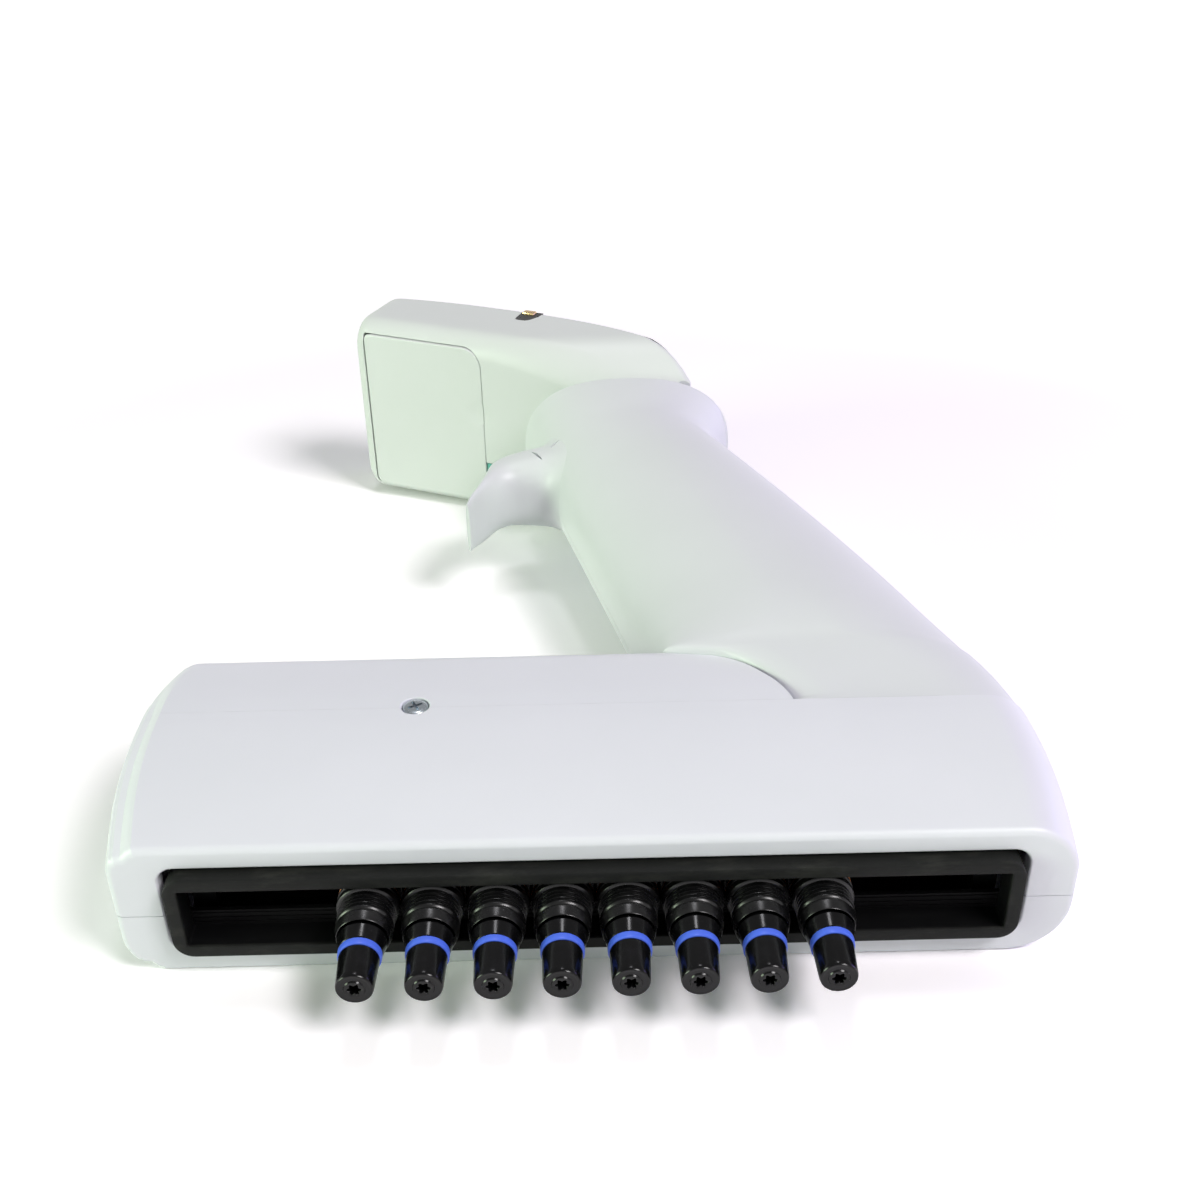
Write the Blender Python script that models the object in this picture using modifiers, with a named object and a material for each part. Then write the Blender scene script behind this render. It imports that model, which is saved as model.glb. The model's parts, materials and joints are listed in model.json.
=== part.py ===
"""Electronic eight-channel pipette with adjustable nozzle spacing, lying on its side.

The pieces are modelled in the pipette's own frame: X runs along the row of nozzles,
Y from the nozzle ends up to the head, Z across the flat of the pipette, and the origin
is the middle of the row at the nozzle ends. An empty then lays the whole pipette on
the ground, touching it with the nose and the head, with +Z up.
"""

import math

import bmesh
import bpy
from mathutils import Matrix, Vector

# Sizes, in metres.

wall = 0.0022
gap = 0.0003
seam = 0.0005

# Nozzles, their colour rings and the sleeves that push the tips off.
nozzle_count = 8
pitch_rest = 0.009
pitch_wide = 0.014
nozzle_end_r = 0.00255
nozzle_neck_r = 0.00283
nozzle_cone_r = 0.00325
nozzle_stem_r = 0.0029
nozzle_bore_r = 0.0011
nozzle_bore_depth = 0.003
ring_y = 0.0063
ring_length = 0.0011
ring_r = 0.00303
cone_end_y = 0.0090
sleeve_y = 0.0095
sleeve_end_y = 0.0166
sleeve_bore_r = 0.00345
sleeve_front_r = 0.00372
sleeve_barrel_r = 0.0039
sleeve_lip_r = 0.00436
sleeve_rib_y = 0.0112
sleeve_lip_y = 0.0144

# Ejector frame in the slot of the nose.
frame_y = 0.01347
frame_length_x = 0.118
frame_height = 0.0141
frame_bar = 0.00205
frame_corner_r = 0.003
frame_floor = 0.0017
frame_slot = 0.0068
eject_stroke = 0.0042

# Carriages that hold the nozzles on two guide rods.
carriage_width = 0.0087
carriage_depth = 0.0128
carriage_top = 0.0056
carriage_under = 0.0053
rod_r = 0.0015
rod_spread = 0.0032
rod_y = 0.0245
barb_r = 0.0012
barb_length = 0.004
bracket_width = 0.0033
bracket_depth = 0.008
chassis_floor = 0.0010

# Fan plate that spreads the nozzles, with its motor.
spread_stroke = 0.008
pin_r = 0.001
pin_y = 0.0301
pin_play = 0.00025
plate_z = 0.0060
plate_thick = 0.0016
plate_margin = 0.0028
spread_motor_x = -0.020
spread_motor_size = 0.0132
spread_motor_length = 0.0095
spread_screw_z = -0.002
spread_screw_r = 0.0015
spread_boss_depth = 0.003

# Nose: the wide lower housing, front face to crease line.
nose_y = 0.0155
nose_left = 0.0667
nose_right = 0.0669
nose_top = 0.01085
nose_under = 0.0115
nose_edge_r = 0.0010
crease_y = 0.0446
crease_left = 0.0694
crease_right = 0.0675
crease_half = 0.0130
side_bulge = 0.0008
top_bulge = 0.0006
corner_top_left_r = 0.0045
corner_top_right_r = 0.0080
corner_under_left_r = 0.0060
corner_under_right_r = 0.0088
split_z = -0.0019
slot_play = 0.0004
slot_play_x = 0.0008
ledge_width = 0.0024
ledge_depth = 0.0015

# Rear cover: closes the nose behind the crease line, left of the handle.
cover_step = 0.0005
cover_back_y = 0.0631
cover_back_left = 0.0666
cover_back_half = 0.0108
screw_x = -0.0267
screw_y = 0.0459
screw_head_r = 0.00215
screw_head_thick = 0.0007
screw_head_sink = 0.0002
screw_shank_r = 0.0009
screw_length = 0.006

# Handle, from the crease line up to the collar's rim.
handle_left_x = 0.0118
handle_left_y = 0.060
handle_left_slope = 0.2515
foot_x = 0.0317
handle_right_fall = 0.0334
handle_right_span = 0.0902
handle_right_power = 1.3
handle_half = 0.0150
rim_y = 0.1620
rim_right_x = 0.0317
rim_half = 0.0165
flare_length = 0.0160
flare_start_y = rim_y - flare_length
handle_wall = 0.0024
handle_lean = math.radians(18.3)
handle_axis_x = 0.0389

# Head: the slab with the display, leaning over the hook side.
head_over_rim = 0.0107
head_overhang = 0.0254
head_tilt = math.radians(23.3)
head_y = rim_y + head_over_rim
head_x = (handle_axis_x - head_overhang
          - (head_y - handle_left_y) * math.tan(handle_lean))
head_thick = 0.0204
head_crown = 0.008
head_left = 0.0338
head_left_drop = 0.0024
head_right = 0.047
head_right_drop = 0.0114
head_half = 0.0220
head_neck_half = 0.0144
head_sweep = 0.0115
head_corner_r = 0.0055
head_edge_r = 0.0018
head_top_power = 3.0
head_sweep_power = 2.0
neck_base_y = rim_y - 0.0050
neck_top_y = rim_y + 0.0035

# On and in the head.
bezel_thick = 0.0013
bezel_half = 0.0212
bezel_edge = 0.0012
bezel_left = 0.0310
bezel_right = 0.0440
window_left = 0.0270
window_right = -0.0065
window_half = 0.0160
panel_half = 0.0178
wheel_h = 0.0075
wheel_r = 0.0105
wheel_inner_r = 0.0055
key_r = 0.0026
key_h = -0.0012
key_z = 0.0145
ok_r = 0.0047
key_travel = 0.0007
key_proud = 0.0009
board_n = 0.0140
board_thick = 0.0016
board_left = 0.0275
board_right = 0.0170
door_left = 0.0300
door_half = 0.0190
door_thick = 0.0018
door_corner_r = 0.005
battery_half = 0.0165
latch_width = 0.0080
latch_depth = 0.0044
latch_tongue = 0.0012
latch_z = -0.0130
latch_travel = 0.0015
contact_h = 0.0042
contact_width = 0.0058
contact_height = 0.0042
contact_drop = 0.0019

# Thumb button and rod of the tip ejector.
button_u = 0.0080
button_r = 0.0060
button_proud = 0.0038
button_top = (head_y - handle_left_y) / math.cos(handle_lean) + button_proud
button_depth = 0.0095
stem_r = 0.0022
ejector_rod_width = 0.006
ejector_rod_thick = 0.0014
ejector_rod_z = -0.0099
button_stem = button_depth + eject_stroke + 0.0123
ejector_rod_top = button_top - button_stem
arm_width = 0.006
arm_reach = 0.0027
arm_thick = 0.0012

# Pistons, their block and motor in the handle.
block_base = 0.006
block_length = 0.022
block_half_u = 0.017
block_half_z = 0.0082
bore_pitch = 0.0085
piston_r = 0.0024
piston_stroke = 0.018
piston_plate_thick = 0.003
piston_motor_base = 0.056
piston_motor_length = 0.024
piston_motor_half = 0.0082
lead_screw_r = 0.0020
lead_screw_length = 2 * piston_stroke
mount_rib = 0.003
mount_rib_u = 0.009

# Finger hook.
hook_half = 0.0079
hook_tip_half = 0.0054
hook_tip_thick = 0.0011

# The scene is emptied, and the pieces and the cutting shapes get a collection each.

for old in list(bpy.data.objects):
    bpy.data.objects.remove(old, do_unlink=True)

pieces = bpy.data.collections.new("multichannel_pipette")
cutters = bpy.data.collections.new("cutting_shapes")
bpy.context.scene.collection.children.link(pieces)
bpy.context.scene.collection.children.link(cutters)


def empty(name, parent=None, location=(0, 0, 0), turn=0.0):
    """An empty that other pieces hang on, turned about Z."""
    ob = bpy.data.objects.new(name, None)
    ob.empty_display_size = 0.01
    ob.location = location
    ob.rotation_euler = (0, 0, turn)
    ob.parent = parent
    pieces.objects.link(ob)
    return ob


root = empty("lying_pipette")
handle_frame = empty("handle_axis", root, (handle_axis_x, handle_left_y, 0), handle_lean)
head_frame = empty("head_axis", root, (head_x, head_y, 0), -head_tilt)


def surface(name, colour, roughness, metallic=0.0):
    """A Principled material of one colour."""
    mat = bpy.data.materials.new(name)
    mat.use_nodes = True
    shader = mat.node_tree.nodes["Principled BSDF"]
    shader.inputs["Base Color"].default_value = (*colour, 1)
    shader.inputs["Roughness"].default_value = roughness
    shader.inputs["Metallic"].default_value = metallic
    mat.diffuse_color = (*colour, 1)
    return mat


white_abs = surface("off_white_abs", (0.72, 0.74, 0.76), 0.35)
cover_abs = surface("cover_abs", (0.64, 0.67, 0.69), 0.38)
black_plastic = surface("black_plastic", (0.012, 0.012, 0.013), 0.3)
frame_plastic = surface("frame_plastic", (0.022, 0.022, 0.023), 0.5)
blue_plastic = surface("blue_plastic", (0.06, 0.13, 0.80), 0.35)
nozzle_plastic = surface("nozzle_plastic", (0.010, 0.010, 0.011), 0.28)
teal_plastic = surface("teal_plastic", (0.14, 0.42, 0.36), 0.4)
grey_plastic = surface("grey_plastic", (0.30, 0.31, 0.32), 0.5)
screen_glass = surface("screen_glass", (0.02, 0.03, 0.04), 0.05)
board_green = surface("board_green", (0.02, 0.10, 0.05), 0.5)
steel = surface("ground_steel", (0.56, 0.57, 0.58), 0.25, 1.0)
cell_wrap = surface("battery_wrap", (0.05, 0.07, 0.10), 0.4)


def put(name, mesh, parent=root, material=None, group=None, location=(0, 0, 0)):
    """A mesh placed as an object under its parent."""
    ob = bpy.data.objects.new(name, mesh)
    ob.parent = parent
    ob.location = location
    (group or pieces).objects.link(ob)
    if material and not mesh.materials:
        mesh.materials.append(material)
    if group is cutters:
        ob.hide_render = True
        ob.display_type = "WIRE"
    return ob


def mesh_of(bm, name):
    """The finished mesh of a bmesh, with its faces turned outward."""
    bmesh.ops.recalc_face_normals(bm, faces=bm.faces)
    mesh = bpy.data.meshes.new(name)
    bm.to_mesh(mesh)
    bm.free()
    mesh.update()
    return mesh


def loft(name, rings):
    """A closed body through rings of as many points each."""
    bm = bmesh.new()
    rows = [[bm.verts.new(p) for p in ring] for ring in rings]
    for low, high in zip(rows, rows[1:]):
        for i in range(len(low)):
            j = (i + 1) % len(low)
            bm.faces.new((low[i], low[j], high[j], high[i]))
    bm.faces.new(list(reversed(rows[0])))
    bm.faces.new(rows[-1])
    return mesh_of(bm, name)


def box(name, x, y, z):
    """A block between two values on each axis."""
    bm = bmesh.new()
    bmesh.ops.create_cube(bm, size=1.0)
    size = Vector((x[1] - x[0], y[1] - y[0], z[1] - z[0]))
    middle = Vector((x[1] + x[0], y[1] + y[0], z[1] + z[0])) / 2
    bmesh.ops.scale(bm, vec=size, verts=bm.verts)
    bmesh.ops.translate(bm, vec=middle, verts=bm.verts)
    return mesh_of(bm, name)


def rod(name, r, start, end, segments=16, end_r=None):
    """A round bar, or a cone, between two points."""
    start = Vector(start)
    end = Vector(end)
    bm = bmesh.new()
    bmesh.ops.create_cone(bm, cap_ends=True, segments=segments, radius1=r,
                          radius2=r if end_r is None else end_r,
                          depth=(end - start).length)
    turn = (end - start).to_track_quat("Z", "Y").to_matrix().to_4x4()
    bmesh.ops.transform(bm, matrix=Matrix.Translation((start + end) / 2) @ turn,
                        verts=bm.verts)
    return mesh_of(bm, name)


def rounded(x0, x1, z0, z1, radii, steps=4):
    """A rectangle's outline with a radius at each corner, from +x +z on and round."""
    points = []
    corners = ((x1, z1, -1, -1), (x0, z1, 1, -1), (x0, z0, 1, 1), (x1, z0, -1, 1))
    for k, (cx, cz, sx, sz) in enumerate(corners):
        r = min(radii[k], (x1 - x0) / 2.001, (z1 - z0) / 2.001)
        for i in range(steps + 1):
            angle = math.pi / 2 * (k + i / steps)
            points.append((cx + sx * r + r * math.cos(angle),
                           cz + sz * r + r * math.sin(angle)))
    return points


def oval(cx, half_x, half_z, power, left_power, count=24):
    """A superellipse's outline, from +x on and round, with its own power on each side."""
    points = []
    for i in range(count):
        angle = 2 * math.pi * (i + 0.5) / count
        c = math.cos(angle)
        s = math.sin(angle)
        power = power if c > 0 else left_power
        points.append((cx + half_x * math.copysign(abs(c) ** (2 / power), c),
                       half_z * math.copysign(abs(s) ** (2 / power), s)))
    return points


def prism(name, outline, low, high):
    """An outline in X and Z carried from one Y to another."""
    return loft(name, [[(x, y, z) for x, z in outline] for y in (low, high)])


def smooth(t):
    """A step from 0 to 1 without corners."""
    t = min(1.0, max(0.0, t))
    return t * t * (3 - 2 * t)


def turned(name, profile, segments=16):
    """A profile of radius and height turned about Y with a Screw modifier.

    It runs down its outer side, from the far end to the near one, and closes on itself
    unless it starts on the axis."""
    bm = bmesh.new()
    loop = [bm.verts.new((r, 0, y)) for r, y in profile]
    for a, b in zip(loop, loop[1:]):
        bm.edges.new((a, b))
    if profile[0][0] > 0:
        bm.edges.new((loop[-1], loop[0]))
    mesh = bpy.data.meshes.new(name)
    bm.to_mesh(mesh)
    bm.free()
    ob = put(name, mesh, root, None, cutters)
    screw = ob.modifiers.new("turn", "SCREW")
    screw.axis = "Z"
    screw.angle = math.tau
    screw.steps = segments
    screw.render_steps = segments
    screw.use_merge_vertices = True
    screw.merge_threshold = 0.000005
    ob.rotation_euler = (-math.pi / 2, 0, 0)
    return ob


def cut(ob, tool, how="DIFFERENCE"):
    """A Boolean modifier with the exact solver."""
    mod = ob.modifiers.new(how.lower() + "_" + tool.name, "BOOLEAN")
    mod.operation = how
    mod.solver = "EXACT"
    mod.object = tool


def tool(name, mesh, parent=root):
    """A cutting shape."""
    return put("cut_" + name, mesh, parent, None, cutters)


def baked(ob, name):
    """The mesh that an object's modifiers make, in its parent's frame, ready to share."""
    bpy.context.view_layer.update()
    graph = bpy.context.evaluated_depsgraph_get()
    mesh = bpy.data.meshes.new_from_object(ob.evaluated_get(graph))
    mesh.name = name
    mesh.transform(ob.matrix_local)
    return mesh


def soften(ob, degrees=35):
    """Round pieces shade smooth, and true edges stay sharp."""
    ob.data.shade_smooth()
    ob.data.set_sharp_from_angle(angle=math.radians(degrees))


# The nose: two half shells round the mechanism, open to the front slot and to the rear.

def nose_ring(y, inset=0.0):
    """The nose's outline at a distance from the nozzle ends."""
    t = (y - nose_y) / (crease_y - nose_y)
    bow = math.sin(math.pi * min(1.0, max(0.0, t)))
    left = nose_left + (crease_left - nose_left) * t + side_bulge * bow
    right = nose_right + (crease_right - nose_right) * t + side_bulge * bow
    top = nose_top + (crease_half - nose_top) * t + top_bulge * bow
    under = nose_under + (crease_half - nose_under) * t
    radii = (corner_top_right_r, corner_top_left_r,
             corner_under_left_r, corner_under_right_r)
    outline = rounded(-left + inset, right - inset, -under + inset, top - inset,
                      [max(0.0008, r - inset) for r in radii])
    return [(x, y, z) for x, z in outline]


nose_end_y = crease_y - seam / 2
nose_body = loft("nose_body", [
    nose_ring(nose_y, nose_edge_r),
    nose_ring(nose_y + 0.3 * nose_edge_r, 0.3 * nose_edge_r),
    nose_ring(nose_y + nose_edge_r, 0.0),
    nose_ring(nose_y + (nose_end_y - nose_y) * 0.22),
    nose_ring(nose_y + (nose_end_y - nose_y) * 0.46),
    nose_ring(nose_y + (nose_end_y - nose_y) * 0.73),
    nose_ring(nose_end_y)])
nose_hollow = tool("nose_hollow", loft("nose_hollow", [
    nose_ring(nose_y + wall, wall),
    nose_ring((nose_y + crease_y) / 2, wall),
    nose_ring(crease_y + wall, wall)]))

slot = tool("slot", prism("slot", rounded(
    -frame_length_x / 2 - slot_play_x, frame_length_x / 2 + slot_play_x,
    -frame_height / 2 - slot_play, frame_height / 2 + slot_play,
    [frame_corner_r] * 4, 3), nose_y - wall, nose_y + 2 * wall))

big = 0.3
above = tool("above", box("above", (-big, big), (-big, big), (split_z - gap / 2, big)))
below = tool("below", box("below", (-big, big), (-big, big), (-big, split_z + gap / 2)))


def ledge_ring(y, side):
    """The strip taken off the nose's left edge, above or below."""
    t = (y - nose_y) / (crease_y - nose_y)
    left = nose_left + (crease_left - nose_left) * t
    high = crease_half * t + (nose_top if side > 0 else nose_under) * (1 - t)
    z0 = side * (high - ledge_depth)
    z1 = side * (high + 0.01)
    x0 = -left - 0.01
    x1 = -left + ledge_width
    return [(x0, y, z0), (x1, y, z0), (x1, y, z1), (x0, y, z1)]


ledges = []
for side, name in ((1, "top"), (-1, "under")):
    ledges.append(tool("ledge_" + name, loft("ledge_" + name, [
        ledge_ring(nose_y - wall, side),
        ledge_ring(crease_y + wall, side)])))

screw_z = crease_half - cover_step - screw_head_sink - screw_head_thick
countersink = tool("countersink", rod(
    "countersink", screw_head_r + gap, (screw_x, screw_y, screw_z - gap),
    (screw_x, screw_y, crease_half + screw_head_thick), 20,
    screw_head_r + gap + 2 * screw_head_thick))
shank_hole = tool("shank_hole", rod(
    "shank_hole", screw_shank_r + gap, (screw_x, screw_y, screw_z - screw_length),
    (screw_x, screw_y, crease_half), 16))

nose_upper = put("nose_upper", nose_body, root, white_abs)
nose_lower = put("nose_under", nose_body.copy(), root, white_abs)
for ob, half, ledge in ((nose_upper, below, ledges[0]), (nose_lower, above, ledges[1])):
    cut(ob, ledge)
    cut(ob, nose_hollow)
    cut(ob, slot)
    cut(ob, half)
    soften(ob)
cut(nose_upper, countersink)
cut(nose_upper, shank_hole)


# The handle: a long hollow loft, its foot curving out over the rear cover.

def handle_left(y):
    """The handle's left outline: a straight side with a foot swept to the right."""
    straight = handle_left_x - handle_left_slope * (y - handle_left_y)
    if y >= handle_left_y:
        return straight
    t = (handle_left_y - y) / (handle_left_y - crease_y)
    return straight + (foot_x - handle_left_x) * math.sqrt(max(0, 1 - (1 - t) ** 2)) \
        - handle_left_slope * (handle_left_y - y) * t


def handle_right(y):
    """The handle's right outline: bowed, with the thumb flare under the rim."""
    x = crease_right - handle_right_fall * (
        max(0.0, y - crease_y) / handle_right_span) ** handle_right_power
    at_rim = crease_right - handle_right_fall * (
        (rim_y - crease_y) / handle_right_span) ** handle_right_power
    t = max(0.0, y - flare_start_y) / (rim_y - flare_start_y)
    return x + (rim_right_x - at_rim) * t ** 2 * (1.6 - 0.6 * t)


def handle_ring(y, inset=0.0):
    """The handle's outline at a height."""
    left = handle_left(y)
    right = handle_right(y)
    rise = smooth((y - crease_y) / 0.030)
    half = crease_half + (handle_half - crease_half) * rise
    half += (rim_half - handle_half) * smooth((y - flare_start_y) / (rim_y - flare_start_y))
    right_power = 3.6 + (2.5 - 3.6) * smooth((y - crease_y) / 0.030)
    left_power = 7.0 + (2.5 - 7.0) * smooth((y - crease_y) / 0.034)
    outline = oval((left + right) / 2, (right - left) / 2 - inset, half - inset,
                   right_power, left_power)
    return [(x, y, z) for x, z in outline]


handle_base_y = crease_y + seam / 2
foot_ys = [handle_base_y + (handle_left_y - handle_base_y) * k
           for k in (0.0, 0.3, 0.55, 0.75, 0.9, 1.0)]
side_steps = 7
side_ys = [handle_left_y + (flare_start_y - handle_left_y) * (k / side_steps)
           for k in range(1, side_steps + 1)]
flare_ys = [flare_start_y + (rim_y - flare_start_y) * k for k in (0.3, 0.55, 0.75, 0.93)]


def handle_body(name, out=0.0):
    """The outer form of the handle, larger all round by a clearance if one is given."""
    rings = [handle_ring(y, -out) for y in foot_ys + side_ys + flare_ys]
    rings.append(handle_ring(rim_y - 0.0003, 0.0004 - out))
    rings.append(handle_ring(rim_y, 0.0012 - out))
    return loft(name, rings)


inner_ys = [crease_y - wall] + foot_ys[1:] + side_ys + flare_ys[1:] + [rim_y + wall]
handle_hollow = tool("handle_hollow", loft(
    "handle_hollow", [handle_ring(y, handle_wall) for y in inner_ys]))

handle_outer = handle_body("handle_outer")
handle_upper = put("handle_upper", handle_outer, root, cover_abs)
handle_lower = put("handle_under", handle_outer.copy(), root, cover_abs)
for ob, half in ((handle_upper, below), (handle_lower, above)):
    cut(ob, handle_hollow)
    cut(ob, half)
    soften(ob)


# The rear cover: it ends against the handle's foot with a narrow seam.

def cover_ring(y, t, inset=0.0, roll=0.0):
    """The rear cover's outline, falling towards its back edge and rolled over there."""
    left = crease_left + (cover_back_left - crease_left) * t ** 1.9
    half = crease_half - cover_step
    half += (cover_back_half - half) * t ** 1.6
    r = corner_top_left_r
    deep = inset + roll
    outline = rounded(-left + inset + roll / 2, 0.045, -half + deep, half - deep,
                      [0.001, max(0.0008, r - inset), max(0.0008, r - inset), 0.001])
    return [(x, y, z) for x, z in outline]


cover_ts = (0.0, 0.3, 0.6, 0.85)
cover_y0 = crease_y + seam / 2
cover_y1 = cover_back_y - 0.0022


def cover_y(t):
    """The height that a step across the rear cover has."""
    return cover_y0 + (cover_y1 - cover_y0) * t


cover_rings = [cover_ring(cover_y(t), t) for t in cover_ts]
cover_rings.append(cover_ring(cover_y1, 1.0, 0.0, 0.0002))
cover_rings.append(cover_ring(cover_back_y - 0.0006, 1.0, 0.0, 0.0012))
cover_rings.append(cover_ring(cover_back_y, 1.0, 0.0, 0.0030))
cover_body = loft("cover_body", cover_rings)

hollow_rings = [cover_ring(cover_y0 - wall, 0.0, wall)]
hollow_rings += [cover_ring(cover_y(t), t, wall) for t in cover_ts]
hollow_rings.append(cover_ring(cover_back_y - wall, 1.0, wall))
cover_hollow = tool("cover_hollow", loft("cover_hollow", hollow_rings))


def foot_line(y, out):
    """A point on the foot's edge, moved out by a clearance."""
    return (handle_left(y) - out, y)


foot_edge = [foot_line(crease_y - wall, 2 * seam)]
foot_edge += [foot_line(y, 2 * seam) for y in foot_ys[1:]]
foot_edge += [foot_line(cover_back_y + wall, 2 * seam), (0.09, cover_back_y + wall),
              (0.09, crease_y - wall)]
foot_bm = bmesh.new()
foot_face = foot_bm.faces.new([foot_bm.verts.new((x, y, -0.03)) for x, y in foot_edge])
foot_up = bmesh.ops.extrude_face_region(foot_bm, geom=[foot_face])["geom"]
bmesh.ops.translate(foot_bm, vec=(0, 0, 0.06),
                    verts=[v for v in foot_up if isinstance(v, bmesh.types.BMVert)])
foot_tool = tool("foot", mesh_of(foot_bm, "foot"))

cover_upper = put("rear_cover_upper", cover_body, root, cover_abs)
cover_lower = put("rear_cover_under", cover_body.copy(), root, cover_abs)
for ob, half in ((cover_upper, below), (cover_lower, above)):
    cut(ob, cover_hollow)
    cut(ob, foot_tool)
    cut(ob, half)
    soften(ob)
cut(cover_upper, countersink)
cut(cover_upper, shank_hole)

cover_screw = put("cover_screw", rod(
    "cover_screw", screw_shank_r, (screw_x, screw_y, screw_z - screw_length),
    (screw_x, screw_y, screw_z + gap), 16), root, steel)
screw_cap = tool("screw_cap", rod(
    "screw_cap", screw_head_r, (screw_x, screw_y, screw_z),
    (screw_x, screw_y, screw_z + screw_head_thick), 20))
cut(cover_screw, screw_cap, "UNION")
soften(cover_screw)


# The head: a hollow slab joined to a neck that stands in the handle's collar.

def head_top(h):
    """The display side's height over the door side, along the head."""
    if h < -head_crown:
        span = head_left - head_crown
        return head_thick - head_left_drop * ((h + head_crown) / span) ** 2
    span = head_right + 0.001 + head_crown
    return head_thick - head_right_drop * ((h + head_crown) / span) ** head_top_power


def head_width(h, n):
    """Half the head's width: it sweeps in to the collar just above the rim."""
    y = head_y - h * math.sin(head_tilt) + n * math.cos(head_tilt)
    low = 1 - min(1.0, max(0.0, (y - rim_y) / head_sweep))
    return head_half - (head_half - head_neck_half) * low ** head_sweep_power


def head_ring(h, inset=0.0, shrink=0.0):
    """The head's outline across its length, with a crisp edge on the display side."""
    half = head_half - inset - shrink
    door_r = max(0.0015, head_corner_r - inset)
    edge_r = max(0.0008, head_edge_r - inset)
    outline = rounded(inset + shrink, head_top(h) - inset - shrink, -half, half,
                      [edge_r, door_r, door_r, edge_r], 3)
    return [(h, n, z * (head_width(h, n) - inset) / (head_half - inset))
            for n, z in outline]


head_hs = [-head_left + (head_left + head_right) * k
           for k in (0.14, 0.34, 0.52, 0.66, 0.78, 0.88, 1.0)]
head_rings = [head_ring(-head_left, 0, 0.0042), head_ring(-head_left + 0.0008, 0, 0.0020),
              head_ring(-head_left + 0.0024, 0, 0.0006)]
head_rings += [head_ring(h) for h in head_hs]
head_shell = put("head_shell", loft("head_shell", head_rings), head_frame, white_abs)
head_inner = [head_ring(-head_left + wall, wall, 0.0010),
              head_ring(-head_left + 2 * wall, wall)]
head_inner += [head_ring(h, wall) for h in head_hs[:-1] + [head_right + 0.002]]
head_hollow = tool("head_hollow", loft("head_hollow", head_inner), head_frame)

rim_clear = tool("rim_clear", box("rim_clear", (-big, big), (-big, rim_y + seam),
                                  (-big, big)))


def neck_ring(y, inset):
    """The neck's outline: the collar's inside less a clearance."""
    return handle_ring(min(y, rim_y - 0.002), handle_wall + seam + inset)


def lifted(ring, y):
    """A ring moved to another height."""
    return [(p[0], y, p[2]) for p in ring]


neck = tool("neck", loft("neck", [
    neck_ring(neck_base_y, 0.0), neck_ring(rim_y - 0.002, 0.0),
    lifted(neck_ring(rim_y, 0.0), rim_y + 0.0006),
    lifted(neck_ring(rim_y, 0.0014), neck_top_y)]))
neck_hollow = tool("neck_hollow", loft("neck_hollow", [
    lifted(neck_ring(neck_base_y, wall), neck_base_y - wall),
    neck_ring(rim_y, wall),
    lifted(neck_ring(rim_y, wall + 0.0014), neck_top_y - wall)]))

cut(head_shell, rim_clear)
cut(head_shell, neck, "UNION")
cut(head_shell, head_hollow)
cut(head_shell, neck_hollow)


def head_plate(name, left, right, low, high, half, edge=0.0, steps=6):
    """A plate that follows the display side between two heights over it."""
    rings = []
    for k in range(steps + 1):
        h = left + (right - left) * k / steps
        top = head_top(h)
        z = min(half, head_width(h, top) - edge)
        rings.append([(h, top + low, -z), (h, top + high, -z),
                      (h, top + high, z), (h, top + low, z)])
    return loft(name, rings)


# The door opening on the hook side, and the opening under the bezel.
door_hole = tool("door_hole", prism("door_hole", rounded(
    -door_left - seam, seam, -door_half - seam, door_half + seam,
    [door_corner_r] * 4, 3), -wall, 2 * wall), head_frame)
cut(head_shell, door_hole)
bezel_seat = tool("bezel_seat", head_plate(
    "bezel_seat", -bezel_left - gap, bezel_right + gap, -bezel_thick - gap, 0.004,
    bezel_half + gap, bezel_edge - gap, 9), head_frame)
cut(head_shell, bezel_seat)
panel_hole = tool("panel_hole", box(
    "panel_hole", (-window_left - seam, wheel_h + wheel_r + seam),
    (board_n, head_thick + wall),
    (-panel_half, panel_half)), head_frame)
cut(head_shell, panel_hole)

button_hole = tool("button_hole", rod(
    "button_hole", button_r + seam, (button_u, button_top - button_depth - 2 * wall,
                                             0),
    (button_u, button_top + 0.01, 0), 24), handle_frame)
cut(head_shell, button_hole)

latch_hole = tool("latch_hole", box(
    "latch_hole", (0, latch_depth + latch_travel + 2 * seam), (-wall, 2 * wall),
    (latch_z - latch_width / 2 - seam, latch_z + latch_width / 2 + seam)), head_frame)
cut(head_shell, latch_hole)
contact_top = head_top(contact_h) - contact_drop
contact_hole = tool("contact_hole", box(
    "contact_hole",
    (contact_h - contact_width / 2 - gap, contact_h + contact_width / 2 + gap),
    (contact_top - contact_height - gap, contact_top + gap),
    (head_half - 0.0016, head_half + 0.01)), head_frame)
cut(head_shell, contact_hole)
soften(head_shell)

door = put("battery_door", prism("battery_door", rounded(
    -door_left, 0, -door_half, door_half, [door_corner_r - seam] * 4, 3),
    0.0, door_thick), head_frame, white_abs)
door_slab = tool("door_slab", prism("door_slab", rounded(
    -door_left, door_corner_r, -door_thick, 0,
    [door_thick / 4, 0.499 * door_thick, 0.499 * door_thick, door_thick / 4], 6),
    -head_half, head_half), head_frame)
door_slab.rotation_euler = (math.pi / 2, 0, 0)
cut(door, door_slab, "INTERSECT")
latch = put("door_latch", box(
    "door_latch", (gap, latch_depth + gap), (0.0, door_thick + gap + latch_tongue),
    (latch_z - latch_width / 2, latch_z + latch_width / 2)), head_frame, teal_plastic)
tongue = tool("tongue", box(
    "tongue", (-latch_tongue, latch_depth), (door_thick + gap, door_thick + gap
                                            + latch_tongue),
    (latch_z - latch_width / 4, latch_z + latch_width / 4)), head_frame)
cut(latch, tongue, "UNION")

contact = put("contact_block", box(
    "contact_block", (contact_h - contact_width / 2, contact_h + contact_width / 2),
    (contact_top - contact_height, contact_top),
    (head_half - 0.0016 + gap, head_half)), head_frame, black_plastic)

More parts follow.
